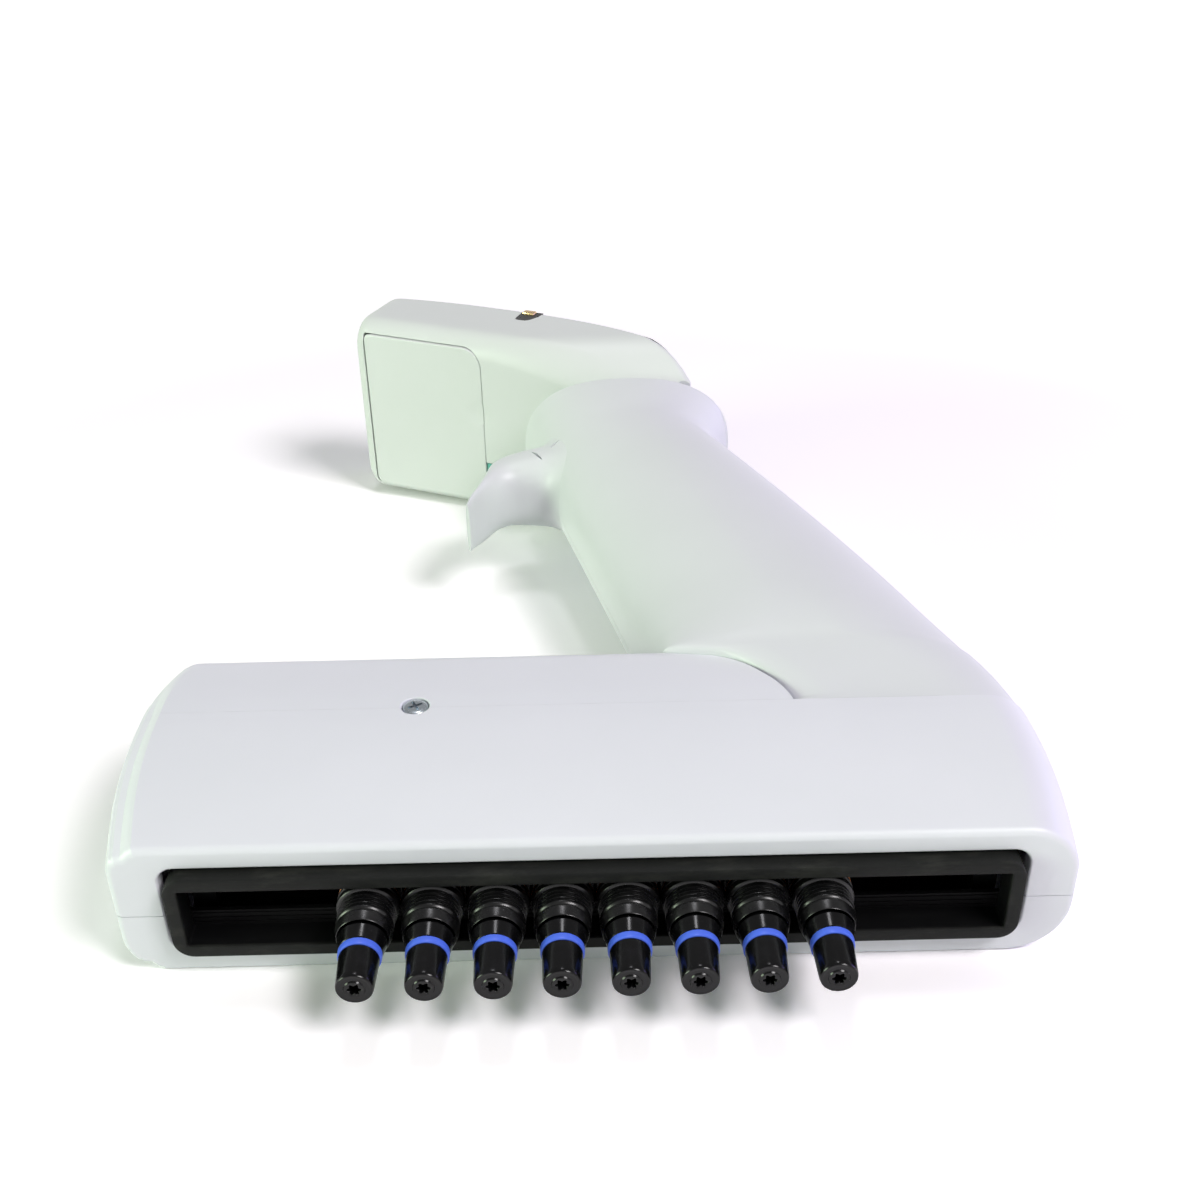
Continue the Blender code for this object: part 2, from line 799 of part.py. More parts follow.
bezel = put("display_bezel", head_plate(
    "display_bezel", -bezel_left, bezel_right, -bezel_thick, 0.0, bezel_half,
    bezel_edge, 9), head_frame, black_plastic)
window_tool = tool("window", box("window", (-window_left - gap, window_right + gap),
                                 (head_thick / 2, head_thick + wall),
                                 (-window_half - gap, window_half + gap)),
                   head_frame)
cut(bezel, window_tool)
cut(bezel, button_hole)
window = put("display_window", head_plate(
    "display_window", -window_left, window_right, -bezel_thick, 0.0, window_half,
    0.0, 4), head_frame, screen_glass)


def key(name, r, h, z, bottom, material, hole, inner=0.0):
    """A round key or ring in the bezel, proud of it by half a millimetre."""
    top = head_top(h) + key_proud
    ob = put(name, rod(name, r, (h, bottom, z), (h, top, z), 24), head_frame, material)
    bore = tool(name, rod(name + "_hole", r + gap, (h, board_n, z),
                          (h, head_thick + wall, z), 24), head_frame)
    if hole:
        cut(bezel, bore)
    if inner:
        middle = tool(name + "_middle", rod(
            name + "_middle", inner, (h, board_n, z), (h, head_thick + wall, z), 24),
            head_frame)
        cut(ob, middle)
    soften(ob)
    return ob


board_top = board_n + board_thick
wheel = key("touch_wheel", wheel_r, wheel_h, 0.0, board_top + gap, grey_plastic, True,
            wheel_inner_r)
key_base = board_top + gap + key_travel
ok_button = key("ok_button", ok_r, wheel_h, 0.0, key_base, grey_plastic, False)
left_key = key("left_key", key_r, key_h, key_z, key_base, grey_plastic, True)
right_key = key("right_key", key_r, key_h, -key_z, key_base, grey_plastic, True)

head_inside = head_half - wall - gap
board = put("circuit_board", box(
    "circuit_board", (-board_left, board_right), (board_n, board_top),
    (-head_inside + seam, head_inside - seam)), head_frame, board_green)
display = put("display_module", box(
    "display_module", (-window_left + 0.001, window_right - 0.001),
    (board_top + gap, head_top(-window_left) - bezel_thick - gap), (-key_z, key_z)),
    head_frame, grey_plastic)
battery = put("battery_pack", box(
    "battery_pack", (-board_left, -0.004), (door_thick + 2 * gap, board_n - gap),
    (-battery_half, battery_half)), head_frame, cell_wrap)


# The thumb button and the rod of the tip ejector.

button = put("ejector_button", rod(
    "ejector_button", button_r, (button_u, button_top - button_depth, 0),
    (button_u, button_top, 0), 24), handle_frame, grey_plastic)
button_slope = tool("button_slope", box(
    "button_slope", (-0.02, 0.02), (0, 0.02), (-0.02, 0.02)), handle_frame)
button_slope.location = (button_u, button_top - 0.0015, 0)
button_slope.rotation_euler = (0, 0, -(head_tilt + handle_lean) * 0.55)
cut(button, button_slope)
stem = tool("button_stem", rod(
    "button_stem", stem_r, (button_u, ejector_rod_top - 0.002, 0),
    (button_u, button_top - button_depth + 0.001, 0), 12), handle_frame)
cut(button, stem, "UNION")
soften(button)

arm_end = crease_y + arm_reach
ejector_rod_base = (arm_end + gap - handle_left_y + ejector_rod_width / 2 * math.sin(
    handle_lean)) / math.cos(handle_lean)
arm_x = handle_axis_x - ejector_rod_base * math.sin(handle_lean)

ejector_rod = put("ejector_rod", box(
    "ejector_rod", (-ejector_rod_width / 2, ejector_rod_width / 2),
    (ejector_rod_base, ejector_rod_top - 0.002 - gap),
    (ejector_rod_z, ejector_rod_z + ejector_rod_thick)), handle_frame, steel)
rod_bridge = tool("rod_bridge", box(
    "rod_bridge", (-ejector_rod_width / 2, button_u + stem_r),
    (ejector_rod_top - 0.006, ejector_rod_top - 0.002 - gap),
    (ejector_rod_z, stem_r)), handle_frame)
cut(ejector_rod, rod_bridge, "UNION")


# The ejector frame: a tray round the sleeves with a slotted floor and an arm.

tray_back = sleeve_end_y + gap + frame_floor
ejector_frame = put("ejector_frame", prism("ejector_frame", rounded(
    -frame_length_x / 2, frame_length_x / 2, -frame_height / 2, frame_height / 2,
    [frame_corner_r] * 4, 3), frame_y, tray_back), root, frame_plastic)
tray = tool("tray", prism("tray", rounded(
    -frame_length_x / 2 + frame_bar, frame_length_x / 2 - frame_bar,
    -frame_height / 2 + frame_bar, frame_height / 2 - frame_bar,
    [frame_corner_r - 0.001] * 4, 3), frame_y - wall, sleeve_end_y + gap))
row_half_wide = (nozzle_count - 1) / 2 * pitch_wide
floor_slot = tool("floor_slot", box(
    "floor_slot", (-row_half_wide - frame_slot / 2, row_half_wide + frame_slot / 2),
    (frame_y - wall, tray_back + wall), (-frame_slot / 2, frame_slot / 2)))
arm_top = -carriage_under - 2 * gap
arm = tool("arm", box("arm", (arm_x - arm_width / 2, arm_x + arm_width / 2),
                      (tray_back - 0.001, arm_end), (arm_top - arm_thick, arm_top)))
arm_foot = tool("arm_foot", box(
    "arm_foot", (arm_x - arm_width / 2, arm_x + arm_width / 2),
    (arm_end - 0.0022, arm_end), (ejector_rod_z, arm_top)))
cut(ejector_frame, tray)
cut(ejector_frame, floor_slot)
cut(ejector_frame, arm, "UNION")
cut(ejector_frame, arm_foot, "UNION")


# One nozzle with its carriage, one colour ring and one sleeve, each shared by the row.

carriage_y = tray_back + gap
carriage_back = carriage_y + carriage_depth
nozzle_master = turned("nozzle_master", [
    (0, carriage_back + barb_length),
    (barb_r, carriage_back + barb_length),
    (barb_r, carriage_back - 0.001),
    (nozzle_stem_r, carriage_back - 0.001),
    (nozzle_stem_r, cone_end_y + gap),
    (nozzle_cone_r, cone_end_y),
    (nozzle_stem_r, ring_y + ring_length + gap),
    (nozzle_neck_r - 0.0004, ring_y + ring_length + gap),
    (nozzle_neck_r - 0.0004, ring_y - gap),
    (nozzle_neck_r, ring_y - gap),
    (nozzle_end_r, 0.0004),
    (nozzle_end_r - 0.0003, 0.0),
    (nozzle_bore_r, 0.0),
    (nozzle_bore_r, nozzle_bore_depth),
    (0, nozzle_bore_depth)], 14)
carriage = tool("carriage", box(
    "carriage", (-carriage_width / 2, carriage_width / 2), (carriage_y, carriage_back),
    (-carriage_under, carriage_top)))
pin = tool("pin", rod("pin", pin_r, (0, pin_y, carriage_top - 0.001),
                      (0, pin_y, plate_z + plate_thick), 12))
cut(nozzle_master, carriage, "UNION")
cut(nozzle_master, pin, "UNION")
for side in (1, -1):
    bore = tool("rod_bore_%s" % ("top" if side > 0 else "under"), rod(
        "rod_bore", rod_r + gap, (-0.01, rod_y, side * rod_spread),
        (0.01, rod_y, side * rod_spread), 12))
    cut(nozzle_master, bore)

ring_master = turned("ring_master", [
    (ring_r, ring_y + ring_length),
    (ring_r, ring_y),
    (nozzle_neck_r - 0.0004 + gap / 2, ring_y),
    (nozzle_neck_r - 0.0004 + gap / 2, ring_y + ring_length)], 14)

sleeve_master = turned("sleeve_master", [
    (sleeve_lip_r, sleeve_end_y),
    (sleeve_lip_r, sleeve_lip_y),
    (sleeve_barrel_r, sleeve_lip_y - 0.0003),
    (sleeve_barrel_r, sleeve_rib_y),
    (sleeve_front_r, sleeve_rib_y - 0.0003),
    (sleeve_front_r, sleeve_y + 0.0004),
    (sleeve_front_r - 0.0002, sleeve_y),
    (sleeve_bore_r, sleeve_y),
    (sleeve_bore_r, sleeve_end_y)], 14)

nozzle_mesh = baked(nozzle_master, "nozzle")
ring_mesh = baked(ring_master, "colour_ring")
sleeve_mesh = baked(sleeve_master, "sleeve")
nozzle_mesh.materials.clear()
for i in range(nozzle_count):
    x = (i - (nozzle_count - 1) / 2) * pitch_rest
    slider = empty("fitting_%d" % (i + 1), root, (x, 0, 0))
    for name, mesh, mat in (("nozzle", nozzle_mesh, nozzle_plastic),
                            ("colour_ring", ring_mesh, blue_plastic),
                            ("sleeve", sleeve_mesh, black_plastic)):
        ob = put("%s_%d" % (name, i + 1), mesh, slider, mat)
        soften(ob, 40)


# Guide rods and their brackets, standing on the floor of the nose.

row_end = row_half_wide + carriage_width / 2 + 2 * gap
for side, name in ((1, "top"), (-1, "under")):
    ob = put("guide_rod_" + name, rod(
        "guide_rod_" + name, rod_r,
        (-row_end - bracket_width, rod_y, side * rod_spread),
        (row_end + bracket_width, rod_y, side * rod_spread), 12), root, steel)
    soften(ob)

floor_z = wall + gap - nose_under - (crease_half - nose_under) * (
    carriage_y - nose_y) / (crease_y - nose_y)
chassis = put("nozzle_chassis", box(
    "nozzle_chassis", (-row_end - bracket_width, row_end + bracket_width),
    (carriage_y + gap, carriage_back + barb_length), (floor_z, floor_z + chassis_floor)),
    root, black_plastic)
for side, name in ((1, "right"), (-1, "left")):
    xs = sorted((side * row_end, side * (row_end + bracket_width)))
    cheek = tool("cheek_" + name, box(
        "cheek_" + name, xs, (rod_y - bracket_depth / 2, rod_y + bracket_depth / 2),
        (floor_z, carriage_top)))
    cut(chassis, cheek, "UNION")
for way in (1, -1):
    bore = tool("cheek_bore_%d" % way, rod(
        "cheek_bore", rod_r + gap, (-row_end - 0.01, rod_y, way * rod_spread),
        (row_end + 0.01, rod_y, way * rod_spread), 12))
    cut(chassis, bore)


# The fan plate: slanted slots that spread the carriages' pins as it slides up.

plate_front = pin_y - spread_stroke - plate_margin
plate_back = carriage_back + barb_length + 2 * gap + spread_boss_depth
plate_half = row_half_wide + plate_margin
fan = put("spacing_plate", box(
    "spacing_plate", (-plate_half, plate_half),
    (plate_front, pin_y + plate_margin), (plate_z, plate_z + plate_thick)),
    root, grey_plastic)
plate_tail = tool("plate_tail", box(
    "plate_tail", (spread_motor_x - 0.004, spread_motor_x + 0.004),
    (pin_y, plate_back), (plate_z, plate_z + plate_thick)))
plate_boss = tool("plate_boss", box(
    "plate_boss", (spread_motor_x - 0.004, spread_motor_x + 0.004),
    (plate_back - spread_boss_depth, plate_back), (spread_screw_z - 0.003,
                                                  plate_z + plate_thick)))
cut(fan, plate_tail, "UNION")
cut(fan, plate_boss, "UNION")
for i in range(nozzle_count):
    k = i - (nozzle_count - 1) / 2
    start = Vector((k * pitch_rest, pin_y, 0))
    end = Vector((k * pitch_wide, pin_y - spread_stroke, 0))
    along = (end - start).normalized()
    r = pin_r + pin_play
    outline = []
    for centre, first in ((end, -90), (start, 90)):
        for j in range(5):
            angle = math.radians(first + 45 * j)
            way = Vector((along.x * math.cos(angle) - along.y * math.sin(angle),
                          along.x * math.sin(angle) + along.y * math.cos(angle), 0))
            outline.append(centre + way * r)
    slot_tool = tool("fan_slot_%d" % (i + 1), loft("fan_slot", [
        [(p.x, p.y, z) for p in outline] for z in (plate_z - 0.001, plate_z + 0.003)]))
    cut(fan, slot_tool)

motor_front = plate_back + spread_stroke + 2 * gap
motor_back = motor_front + spread_motor_length
spacing_screw = put("spacing_screw", rod(
    "spacing_screw", spread_screw_r, (spread_motor_x, plate_back + gap, spread_screw_z),
    (spread_motor_x, motor_back - spread_stroke, spread_screw_z), 12), root, steel)
soften(spacing_screw)
spacing_motor = put("spacing_motor", box(
    "spacing_motor", (spread_motor_x - spread_motor_size / 2,
                      spread_motor_x + spread_motor_size / 2),
    (motor_front, motor_back),
    (spread_screw_z - spread_motor_size / 2, spread_screw_z + spread_motor_size / 2)),
    root, grey_plastic)
motor_bore = tool("motor_bore", rod(
    "motor_bore", spread_screw_r + gap, (spread_motor_x, motor_front - 0.01,
                                         spread_screw_z),
    (spread_motor_x, motor_back + 0.01, spread_screw_z), 12))
cut(spacing_motor, motor_bore)


# Pistons in their block, with the motor that lifts them along the handle. Both stand
# on ribs that reach the handle's walls.

rib_reach = handle_half - handle_wall - 3 * gap


def rib(name, ob, u, v, z):
    """A rib joined to a block in the handle."""
    cut(ob, tool("rib_" + name, box("rib", sorted(u), v, sorted(z)), handle_frame),
        "UNION")


block = put("cylinder_block", box(
    "cylinder_block", (-block_half_u, block_half_u),
    (block_base, block_base + block_length), (-block_half_z, block_half_z)),
    handle_frame, grey_plastic)
rib_v = (block_base + mount_rib, block_base + 2 * mount_rib)
for side in (1, -1):
    rib("block_%d" % side, block, (side * mount_rib_u, side * (mount_rib_u - mount_rib)),
        rib_v, (-rib_reach, rib_reach))

plate_low = block_base + block_length + gap
pistons = put("piston_plate", box(
    "piston_plate", (-block_half_u + 0.001, block_half_u - 0.001),
    (plate_low, plate_low + piston_plate_thick), (-block_half_z, block_half_z)),
    handle_frame, steel)
for row in (-1, 1):
    for column in range(4):
        u = (column - 1.5) * bore_pitch
        z = row * bore_pitch / 2
        name = "%d_%d" % (column + 1, row)
        bore = tool("bore_" + name, rod(
            "bore", piston_r + gap, (u, block_base + 0.002, z),
            (u, block_base + block_length + 0.01, z), 12), handle_frame)
        cut(block, bore)
        plunger = tool("plunger_" + name, rod(
            "plunger", piston_r, (u, block_base + 0.003, z),
            (u, plate_low + 0.001, z), 12), handle_frame)
        cut(pistons, plunger, "UNION")

lead_screw = put("lead_screw", rod(
    "lead_screw", lead_screw_r, (0, plate_low + piston_plate_thick + gap, 0),
    (0, plate_low + piston_plate_thick + lead_screw_length, 0), 12), handle_frame, steel)
soften(lead_screw)
piston_motor = put("piston_motor", box(
    "piston_motor", (-piston_motor_half, piston_motor_half),
    (piston_motor_base, piston_motor_base + piston_motor_length),
    (-piston_motor_half, piston_motor_half)), handle_frame, grey_plastic)
rib_v = (piston_motor_base + mount_rib, piston_motor_base + 2 * mount_rib)
rib("motor_top", piston_motor, (-piston_motor_half + 0.001, piston_motor_half - 0.001),
    rib_v, (piston_motor_half - 0.001, rib_reach))
rib("motor_under", piston_motor, (ejector_rod_width / 2 + 2 * gap,
                                  piston_motor_half - 0.001),
    rib_v, (-piston_motor_half + 0.001, -rib_reach))
screw_way = tool("screw_way", rod(
    "screw_way", lead_screw_r + gap, (0, piston_motor_base - 0.01, 0),
    (0, piston_motor_base + piston_motor_length + 0.01, 0), 12), handle_frame)
cut(piston_motor, screw_way)


# The finger hook: a comma-shaped loft, trimmed to stand off the handle's skin.

hook_stations = (
    # inner side x and drop under the rim, outer side likewise, share of the half width
    (0.0000, 0.0256, 0.0000, 0.0128, 1.10),
    (-0.0060, 0.0264, -0.0065, 0.0130, 1.05),
    (-0.0110, 0.0259, -0.0125, 0.0140, 1.00),
    (-0.0152, 0.0267, -0.0178, 0.0156, 0.94),
    (-0.0180, 0.0284, -0.0206, 0.0192, 0.90),
    (-0.0202, 0.0309, -0.0216, 0.0248, 0.86),
    (-0.0218, 0.0334, -0.0227, 0.0298, 0.82),
    (-0.0231, 0.0358, -0.0240, 0.0336, 0.76))
hook_rings = []
for x0, drop0, x1, drop1, share in hook_stations:
    inner = Vector((x0, rim_y - drop0, 0))
    outer = Vector((x1, rim_y - drop1, 0))
    middle = (inner + outer) / 2
    arm_way = (outer - inner) / 2
    ring = []
    for i in range(16):
        angle = math.tau * (i + 0.5) / 16
        c = math.cos(angle)
        s = math.sin(angle)
        p = middle + arm_way * math.copysign(abs(c) ** 0.8, c)
        ring.append((p.x, p.y, hook_half * share * math.copysign(abs(s) ** 0.7, s)))
    hook_rings.append(ring)
tip = Vector((-0.0244, rim_y - 0.0379, 0))
ring = []
for i in range(16):
    angle = math.tau * (i + 0.5) / 16
    c = math.cos(angle)
    s = math.sin(angle)
    ring.append((tip.x - hook_tip_thick / 2 * math.copysign(abs(c) ** 0.6, c), tip.y,
                 hook_tip_half * math.copysign(abs(s) ** 0.7, s)))
hook_rings.append(ring)
hook = put("finger_hook", loft("finger_hook", hook_rings), root, cover_abs)
skin = tool("handle_skin", handle_body("handle_skin", gap))
cut(hook, skin)
soften(hook)


# The pipette is laid down: the tilt at which nose and head touch the ground together.

def side_points(names):
    """The corners of finished pieces, in the pipette's frame."""
    bpy.context.view_layer.update()
    graph = bpy.context.evaluated_depsgraph_get()
    points = []
    for name in names:
        ob = bpy.data.objects[name].evaluated_get(graph)
        mesh = ob.to_mesh()
        points += [ob.matrix_world @ v.co for v in mesh.vertices]
        ob.to_mesh_clear()
    return points


def lowest(points, tilt):
    """The lowest height of some points once the pipette is tilted."""
    return min(p.y * math.sin(tilt) + p.z * math.cos(tilt) for p in points)


nose_points = side_points(["nose_under", "rear_cover_under"])
head_points = side_points(["head_shell", "handle_under"])
flat = 0.0
steep = math.radians(12)
for _ in range(40):
    tilt = (flat + steep) / 2
    if lowest(head_points, tilt) < lowest(nose_points, tilt):
        flat = tilt
    else:
        steep = tilt

everything = side_points([ob.name for ob in pieces.objects if ob.type == "MESH"])
turned_points = [Matrix.Rotation(tilt, 4, "X") @ p for p in everything]
low = [min(p[k] for p in turned_points) for k in range(3)]
high = [max(p[k] for p in turned_points) for k in range(3)]
root.rotation_euler = (tilt, 0, 0)
root.location = (-(low[0] + high[0]) / 2, -(low[1] + high[1]) / 2, -low[2])
bpy.context.view_layer.update()
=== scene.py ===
# %% [markdown]
# # An electronic multichannel pipette, lying on a white table
#
# The real pipette draws up eight small volumes at once. Eight black nozzles stand in a
# wide white nose and can spread apart. A leaning handle carries them, with a hook for the
# forefinger and a head with the display on its far side.
#
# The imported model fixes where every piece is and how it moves. This lesson gives each
# visible piece the form and finish that a moulded and turned product has.

import json
import math

import bmesh
import bpy
from mathutils import Euler, Matrix, Vector


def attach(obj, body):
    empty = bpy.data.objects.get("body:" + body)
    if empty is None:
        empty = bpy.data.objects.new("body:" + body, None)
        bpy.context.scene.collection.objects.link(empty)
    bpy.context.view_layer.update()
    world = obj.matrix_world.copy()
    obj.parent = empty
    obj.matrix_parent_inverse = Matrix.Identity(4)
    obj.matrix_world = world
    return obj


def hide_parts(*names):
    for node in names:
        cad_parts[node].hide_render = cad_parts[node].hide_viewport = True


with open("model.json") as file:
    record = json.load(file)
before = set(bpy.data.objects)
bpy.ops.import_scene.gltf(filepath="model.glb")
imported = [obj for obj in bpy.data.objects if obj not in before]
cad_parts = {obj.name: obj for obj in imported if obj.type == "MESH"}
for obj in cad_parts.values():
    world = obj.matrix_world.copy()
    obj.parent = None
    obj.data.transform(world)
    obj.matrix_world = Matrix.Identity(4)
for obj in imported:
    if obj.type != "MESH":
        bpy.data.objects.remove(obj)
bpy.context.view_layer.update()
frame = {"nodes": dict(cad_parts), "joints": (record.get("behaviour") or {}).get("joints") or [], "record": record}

# %% [markdown]
# ## One frame for modelling
#
# The pipette lies on its back, a few degrees nose down. Its shapes are easier to describe
# while it stands straight: X along the nozzle row, Y up the pipette, Z towards the viewer,
# in millimetres, with the origin between the nozzle ends. One matrix then lays every
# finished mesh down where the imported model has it. Its tilt is read from a joint's axis
# and its origin from the eight end faces, so nothing has to be fitted by eye.

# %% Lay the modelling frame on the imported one
axis_up = Vector({j["name"]: j for j in frame["joints"]}["spacing_slide"]["axis"])
tilt = math.atan2(axis_up.z, axis_up.y)
end_faces = [Vector(m["pos_m"]) for m in frame["record"]["mounts"]
             if m["name"].startswith("nozzle_end")]
END_FACE_DROP = 1.825
turn = Matrix.Rotation(tilt, 4, "X") @ Matrix.Scale(0.001, 4)
origin = sum(end_faces, Vector()) / len(end_faces) - turn @ Vector((0, 0, -END_FACE_DROP))
LAY = Matrix.Translation(origin) @ turn
LEAN = math.radians(18.3)
HEAD_TILT = math.radians(23.3)
HANDLE_AXIS = (38.9, 60.0)
RIM_Y = 162.0
HEAD_RISE, HEAD_SHIFT = 10.7, 25.4
HEAD_Y = RIM_Y + HEAD_RISE
HEAD_X = HANDLE_AXIS[0] - HEAD_SHIFT - (HEAD_Y - HANDLE_AXIS[1]) * math.tan(LEAN)
UPRIGHT = Matrix.Identity(4)
ALONG_HANDLE = Matrix.Translation((*HANDLE_AXIS, 0)) @ Matrix.Rotation(LEAN, 4, "Z")
ALONG_HEAD = Matrix.Translation((HEAD_X, HEAD_Y, 0)) @ Matrix.Rotation(-HEAD_TILT, 4, "Z")
print("tilt %.3f degrees, origin" % math.degrees(tilt), [round(c, 5) for c in origin])

# %% [markdown]
# ## A few helpers
#
# Most casings are lofts: an outline that changes on its way along the piece. `skin` starts
# with a circle of vertices, moves each to its place in the first outline, and extrudes
# that edge loop to every outline that follows. Each vertex carries its place as a number,
# which the extrusion copies, so the loops never twist.

# %% Skin a run of outlines
WELD = 0.0005


def skin(outlines, ends=True):
    """A tube through outlines of equal length, closed at both ends or on itself."""
    bm = bmesh.new()
    place = bm.verts.layers.int.new("place")
    circle = bmesh.ops.create_circle(bm, segments=len(outlines[0]), radius=1)["verts"]
    for i, v in enumerate(circle):
        v[place] = i
        v.co = outlines[0][i]
    loop = bm.edges[:]
    if ends:
        bmesh.ops.contextual_create(bm, geom=loop)
    for outline in outlines[1:]:
        out = bmesh.ops.extrude_edge_only(bm, edges=loop)["geom"]
        fresh = {g for g in out if isinstance(g, bmesh.types.BMVert)}
        loop = [g for g in out if isinstance(g, bmesh.types.BMEdge)
                and g.verts[0] in fresh and g.verts[1] in fresh]
        for v in fresh:
            v.co = outline[v[place]]
    if ends:
        bmesh.ops.contextual_create(bm, geom=loop)
    bmesh.ops.remove_doubles(bm, verts=bm.verts[:], dist=WELD)
    bmesh.ops.recalc_face_normals(bm, faces=bm.faces[:])
    return bm


# %% [markdown]
# Openings are cut with a Boolean, as a mould's inserts leave them. The helper puts two
# bmeshes into throw-away objects, lets the exact solver work, and takes the result back.

# %% Cut or join two meshes
def throwaway(bm):
    """An object that holds a bmesh for a moment."""
    mesh = bpy.data.meshes.new("throwaway")
    bm.to_mesh(mesh)
    bm.free()
    ob = bpy.data.objects.new("throwaway", mesh)
    bpy.context.scene.collection.objects.link(ob)
    return ob


def carve(bm, cutter, how="DIFFERENCE"):
    """One bmesh cut by, or joined with, another."""
    ob = throwaway(bm)
    tool = throwaway(cutter)
    boolean = ob.modifiers.new("carve", "BOOLEAN")
    boolean.operation = how
    boolean.solver = "EXACT"
    boolean.object = tool
    bpy.context.view_layer.update()
    result = bmesh.new()
    result.from_object(ob, bpy.context.evaluated_depsgraph_get())
    for used in (ob, tool):
        mesh = used.data
        bpy.data.objects.remove(used)
        bpy.data.meshes.remove(mesh)
    return result


def cap(bm):
    """Fill every open rim."""
    rim = [e for e in bm.edges if e.is_boundary]
    bmesh.ops.holes_fill(bm, edges=rim, sides=0)


def halve(bm, z, side):
    """The part of a shell above (side 1) or below (side -1) a level, its cut closed."""
    geometry = bm.verts[:] + bm.edges[:] + bm.faces[:]
    bmesh.ops.bisect_plane(bm, geom=geometry, dist=WELD, plane_co=(0, 0, z),
                           plane_no=(0, 0, side), clear_inner=True)
    cap(bm)
    return bm


def moved(bm, matrix):
    """A bmesh after a move."""
    bmesh.ops.transform(bm, matrix=matrix, verts=bm.verts[:])
    return bm


# %% [markdown]
# Small solids come from Blender's own primitives: a cube that is scaled and bevelled for
# blocks, a cone between two points for rods, and a spun profile for turned pieces.

# %% Blocks, rods and turned pieces
def block(x, y, z, round_off=0.0, segments=2):
    """A block between two corners, its edges rounded if asked."""
    bm = bmesh.new()
    bmesh.ops.create_cube(bm, size=1)
    size = Vector((x[1] - x[0], y[1] - y[0], z[1] - z[0]))
    bmesh.ops.scale(bm, vec=size, verts=bm.verts[:])
    middle = Vector((x[1] + x[0], y[1] + y[0], z[1] + z[0])) / 2
    bmesh.ops.translate(bm, vec=middle, verts=bm.verts[:])
    if round_off:
        bmesh.ops.bevel(bm, geom=bm.edges[:], offset=round_off, segments=segments,
                        profile=0.5, affect="EDGES", material=-1)
    return bm


def rod(radius, start, end, segments=48, far_radius=None):
    """A round bar or cone between two points."""
    start = Vector(start)
    end = Vector(end)
    bm = bmesh.new()
    bmesh.ops.create_cone(bm, cap_ends=True, segments=segments, radius1=radius,
                          radius2=far_radius or radius, depth=(end - start).length)
    way = (end - start).to_track_quat("Z", "Y").to_matrix().to_4x4()
    bmesh.ops.transform(bm, matrix=Matrix.Translation((start + end) / 2) @ way,
                        verts=bm.verts[:])
    return bm


def turned(profile, segments=64):
    """A profile of radius and height spun round the Y axis, closed on itself or at its
    poles."""
    bm = bmesh.new()
    line = [bm.verts.new((r, y, 0)) for r, y in profile]
    edges = [bm.edges.new(pair) for pair in zip(line, line[1:])]
    if profile[0][0] > 0 and profile[-1][0] > 0:
        edges.append(bm.edges.new((line[-1], line[0])))
    bmesh.ops.spin(bm, geom=line + edges, cent=(0, 0, 0), axis=(0, 1, 0),
                   angle=math.tau, steps=segments, use_merge=True)
    bmesh.ops.remove_doubles(bm, verts=bm.verts[:], dist=WELD)
    bmesh.ops.recalc_face_normals(bm, faces=bm.faces[:])
    return bm


# %% [markdown]
# Every outline below is a list of points round the piece. Two kinds cover nearly all: a
# rectangle with its own radius at each corner, and a superellipse, whose power says how
# square it is.

# %% Outlines
def rounded(x0, x1, z0, z1, radii, steps=12):
    """A rectangle's outline with a radius at each corner, from +x +z on and round."""
    points = []
    corners = ((x1, z1, -1, -1), (x0, z1, 1, -1), (x0, z0, 1, 1), (x1, z0, -1, 1))
    for k, (cx, cz, sx, sz) in enumerate(corners):
        r = radii[k]
        for i in range(steps + 1):
            angle = math.pi / 2 * (k + i / steps)
            points.append((cx + sx * r + r * math.cos(angle),
                           cz + sz * r + r * math.sin(angle)))
    return points


def at_y(outline, y):
    """A flat outline in X and Z set at a height."""
    return [Vector((x, y, z)) for x, z in outline]


def smooth(t):
    """A step from 0 to 1 without corners."""
    t = min(1.0, max(0.0, t))
    return t * t * (3 - 2 * t)


def spaced(low, high, count):
    """Evenly spaced heights, both ends included."""
    return [low + (high - low) * i / (count - 1) for i in range(count)]


# %% [markdown]
# ## Materials
#
# Nearly everything is injection moulded. The casings are ABS: off-white, satin, with the
# fine grain of a spark-eroded mould. It shows as a soft sheen rather than as texture. The
# nozzles are a hard polished black, the ejector frame a black with a coarser matte grain.
#
# One helper adds a node. It takes the node's type, what feeds it and its settings. The
# small ones after it each give the socket of a node that every material needs.

# %% Helpers for nodes
def linear(code):
    """An sRGB hex colour as linear light, with alpha."""
    parts = [int(code[i:i + 2], 16) / 255 for i in (1, 3, 5)]
    return [c / 12.92 if c <= 0.04045 else ((c + 0.055) / 1.055) ** 2.4
            for c in parts] + [1.0]


def feed(tree, node, inputs):
    """Link a node's inputs to sockets, or set them to values, by name."""
    for name, source in inputs.items():
        if isinstance(source, bpy.types.NodeSocket):
            tree.links.new(source, node.inputs[name])
        else:
            node.inputs[name].default_value = source


def add(tree, kind, inputs=None, **settings):
    """A node with its settings made and its inputs fed."""
    node = tree.nodes.new(kind)
    for name, value in settings.items():
        setattr(node, name, value)
    feed(tree, node, inputs or {})
    return node


def noise(tree, place, size_mm, detail=2.0, roughness=0.5):
    """A noise with grains of a real size."""
    return add(tree, "ShaderNodeTexNoise", {
        "Vector": place, "Scale": 1000 / size_mm, "Detail": detail,
        "Roughness": roughness}).outputs["Fac"]


def blend(tree, factor, a, b):
    """Two colours mixed by a factor."""
    return add(tree, "ShaderNodeMix", {"Factor": factor, "A": a, "B": b},
               data_type="RGBA").outputs["Result"]


